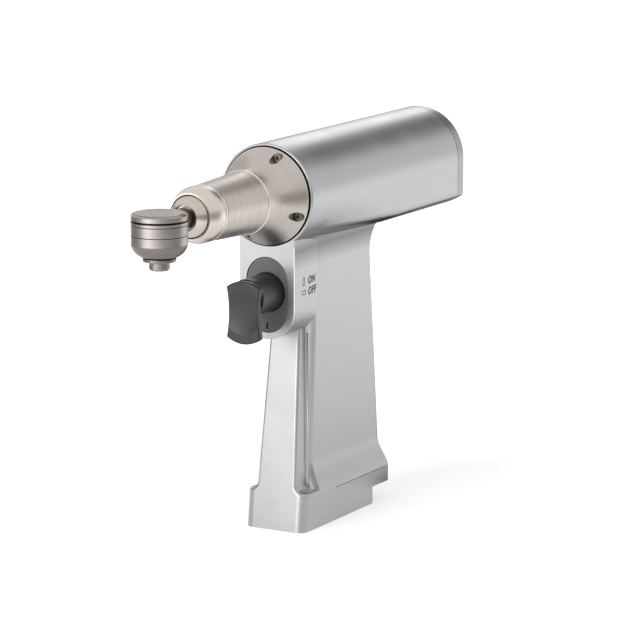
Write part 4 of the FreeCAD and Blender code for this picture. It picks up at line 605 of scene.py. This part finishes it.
def studio_sky():
    """White to look at, and half as strong as a light."""
    world = bpy.data.worlds.new("studio")
    world.use_nodes = True
    tree = world.node_tree
    background = tree.nodes["Background"]
    background.inputs["Color"].default_value = WHITE
    level = tree.nodes.new("ShaderNodeMapRange")
    level.inputs["To Min"].default_value = SKY_AS_LIGHT
    level.inputs["To Max"].default_value = SKY_AS_SEEN
    tree.links.new(seen_directly(tree), level.inputs["Value"])
    tree.links.new(level.outputs["Result"], background.inputs["Strength"])
    return world


flat_sheet("floor", FLOOR_SIZE, FLOOR_SIZE, floor_paint())
scene.world = studio_sky()


# Dark cards and lamps

BARREL_MIDDLE = (0, 0.03, AXIS_Z)
MIDDLE = (0, -0.02, 0.08)


def turn_towards(made, front, place, aim):
    """Puts an object in its place, with one of its axes towards the aim."""
    made.location = place
    made.rotation_euler = (Vector(aim) - Vector(place)).to_track_quat(front, "Y").to_euler()


def dark_card(name, place, aim, width, height, shade):
    """A sheet that only polished surfaces see, as a dark band in their reflections."""
    material = bpy.data.materials.new(name)
    material.use_nodes = True
    shader = material.node_tree.nodes["Principled BSDF"]
    shader.inputs["Base Color"].default_value = BLACK
    shader.inputs["Specular IOR Level"].default_value = 0.0
    shader.inputs["Emission Color"].default_value = (shade, shade, shade, 1)
    shader.inputs["Emission Strength"].default_value = 1.0
    card = flat_sheet(name, width, height, material)
    turn_towards(card, "Z", place, aim)
    card.visible_camera = False
    card.visible_diffuse = False
    card.visible_shadow = False


def soft_lamp(name, place, aim, width, height, power):
    data = bpy.data.lights.new(name, "AREA")
    data.shape = "RECTANGLE"
    data.size = width
    data.size_y = height
    data.energy = power
    turn_towards(add_object(name, data), "-Z", place, aim)


dark_card("streak_card", (0.06, 0.6, 0.47), BARREL_MIDDLE, 0.34, 0.34, 0.14)
dark_card("edge_card", (-0.27, 0.45, 0.07), (0, -0.05, 0.07), 0.22, 0.3, 0.02)
dark_card("right_card", (0.42, -0.52, 0.1), (0, -0.52, 0.1), 1.55, 0.2, 0.38)
dark_card("left_card", (-0.42, -0.26, 0.12), (0, -0.26, 0.12), 0.68, 0.24, 0.35)
dark_card("under_card", (-0.07, 0.2, 0.001), (-0.07, 0.2, 1), 0.2, 0.3, 0.02)
dark_card("button_card", (-0.072, 0.026, 0.157), (0, HEAD_Y, 0.128), 0.06, 0.06, 0.6)
soft_lamp("front_lamp", (-0.25, -1.17, 0.42), MIDDLE, 0.5, 0.6, 7)
soft_lamp("rear_lamp", (-0.40, 0.9, 0.5), MIDDLE, 0.3, 0.2, 0.35)


# The photograph's view, found from the barrel's and drum's outlines

VIEW_AZIMUTH = math.radians(29.45)
VIEW_ELEVATION = math.radians(11.15)
FACE_DISTANCE = 1.2134
FACE_PIXEL = (266.5, 196.0)
PICTURE = 640
FOCAL_PIXELS = 3400
SENSOR_WIDTH = 36
CLIP_NEAR = 0.05
CLIP_FAR = 20

level = math.cos(VIEW_ELEVATION)
back = Vector((math.sin(VIEW_AZIMUTH) * level, -math.cos(VIEW_AZIMUTH) * level, math.sin(VIEW_ELEVATION)))
right = Vector((math.cos(VIEW_AZIMUTH), math.sin(VIEW_AZIMUTH), 0))
up = back.cross(right)
across = (FACE_PIXEL[0] - PICTURE / 2) / FOCAL_PIXELS * FACE_DISTANCE
above = (PICTURE / 2 - FACE_PIXEL[1]) / FOCAL_PIXELS * FACE_DISTANCE
lens = bpy.data.cameras.new("camera")
lens.sensor_width = SENSOR_WIDTH
lens.lens = FOCAL_PIXELS * SENSOR_WIDTH / PICTURE
lens.clip_start = CLIP_NEAR
lens.clip_end = CLIP_FAR
camera = add_object("camera", lens)
camera.location = Vector((0, FACE_Y, AXIS_Z)) + back * FACE_DISTANCE - right * across - up * above
camera.rotation_euler = Matrix((right, up, back)).transposed().to_euler()
scene.camera = camera
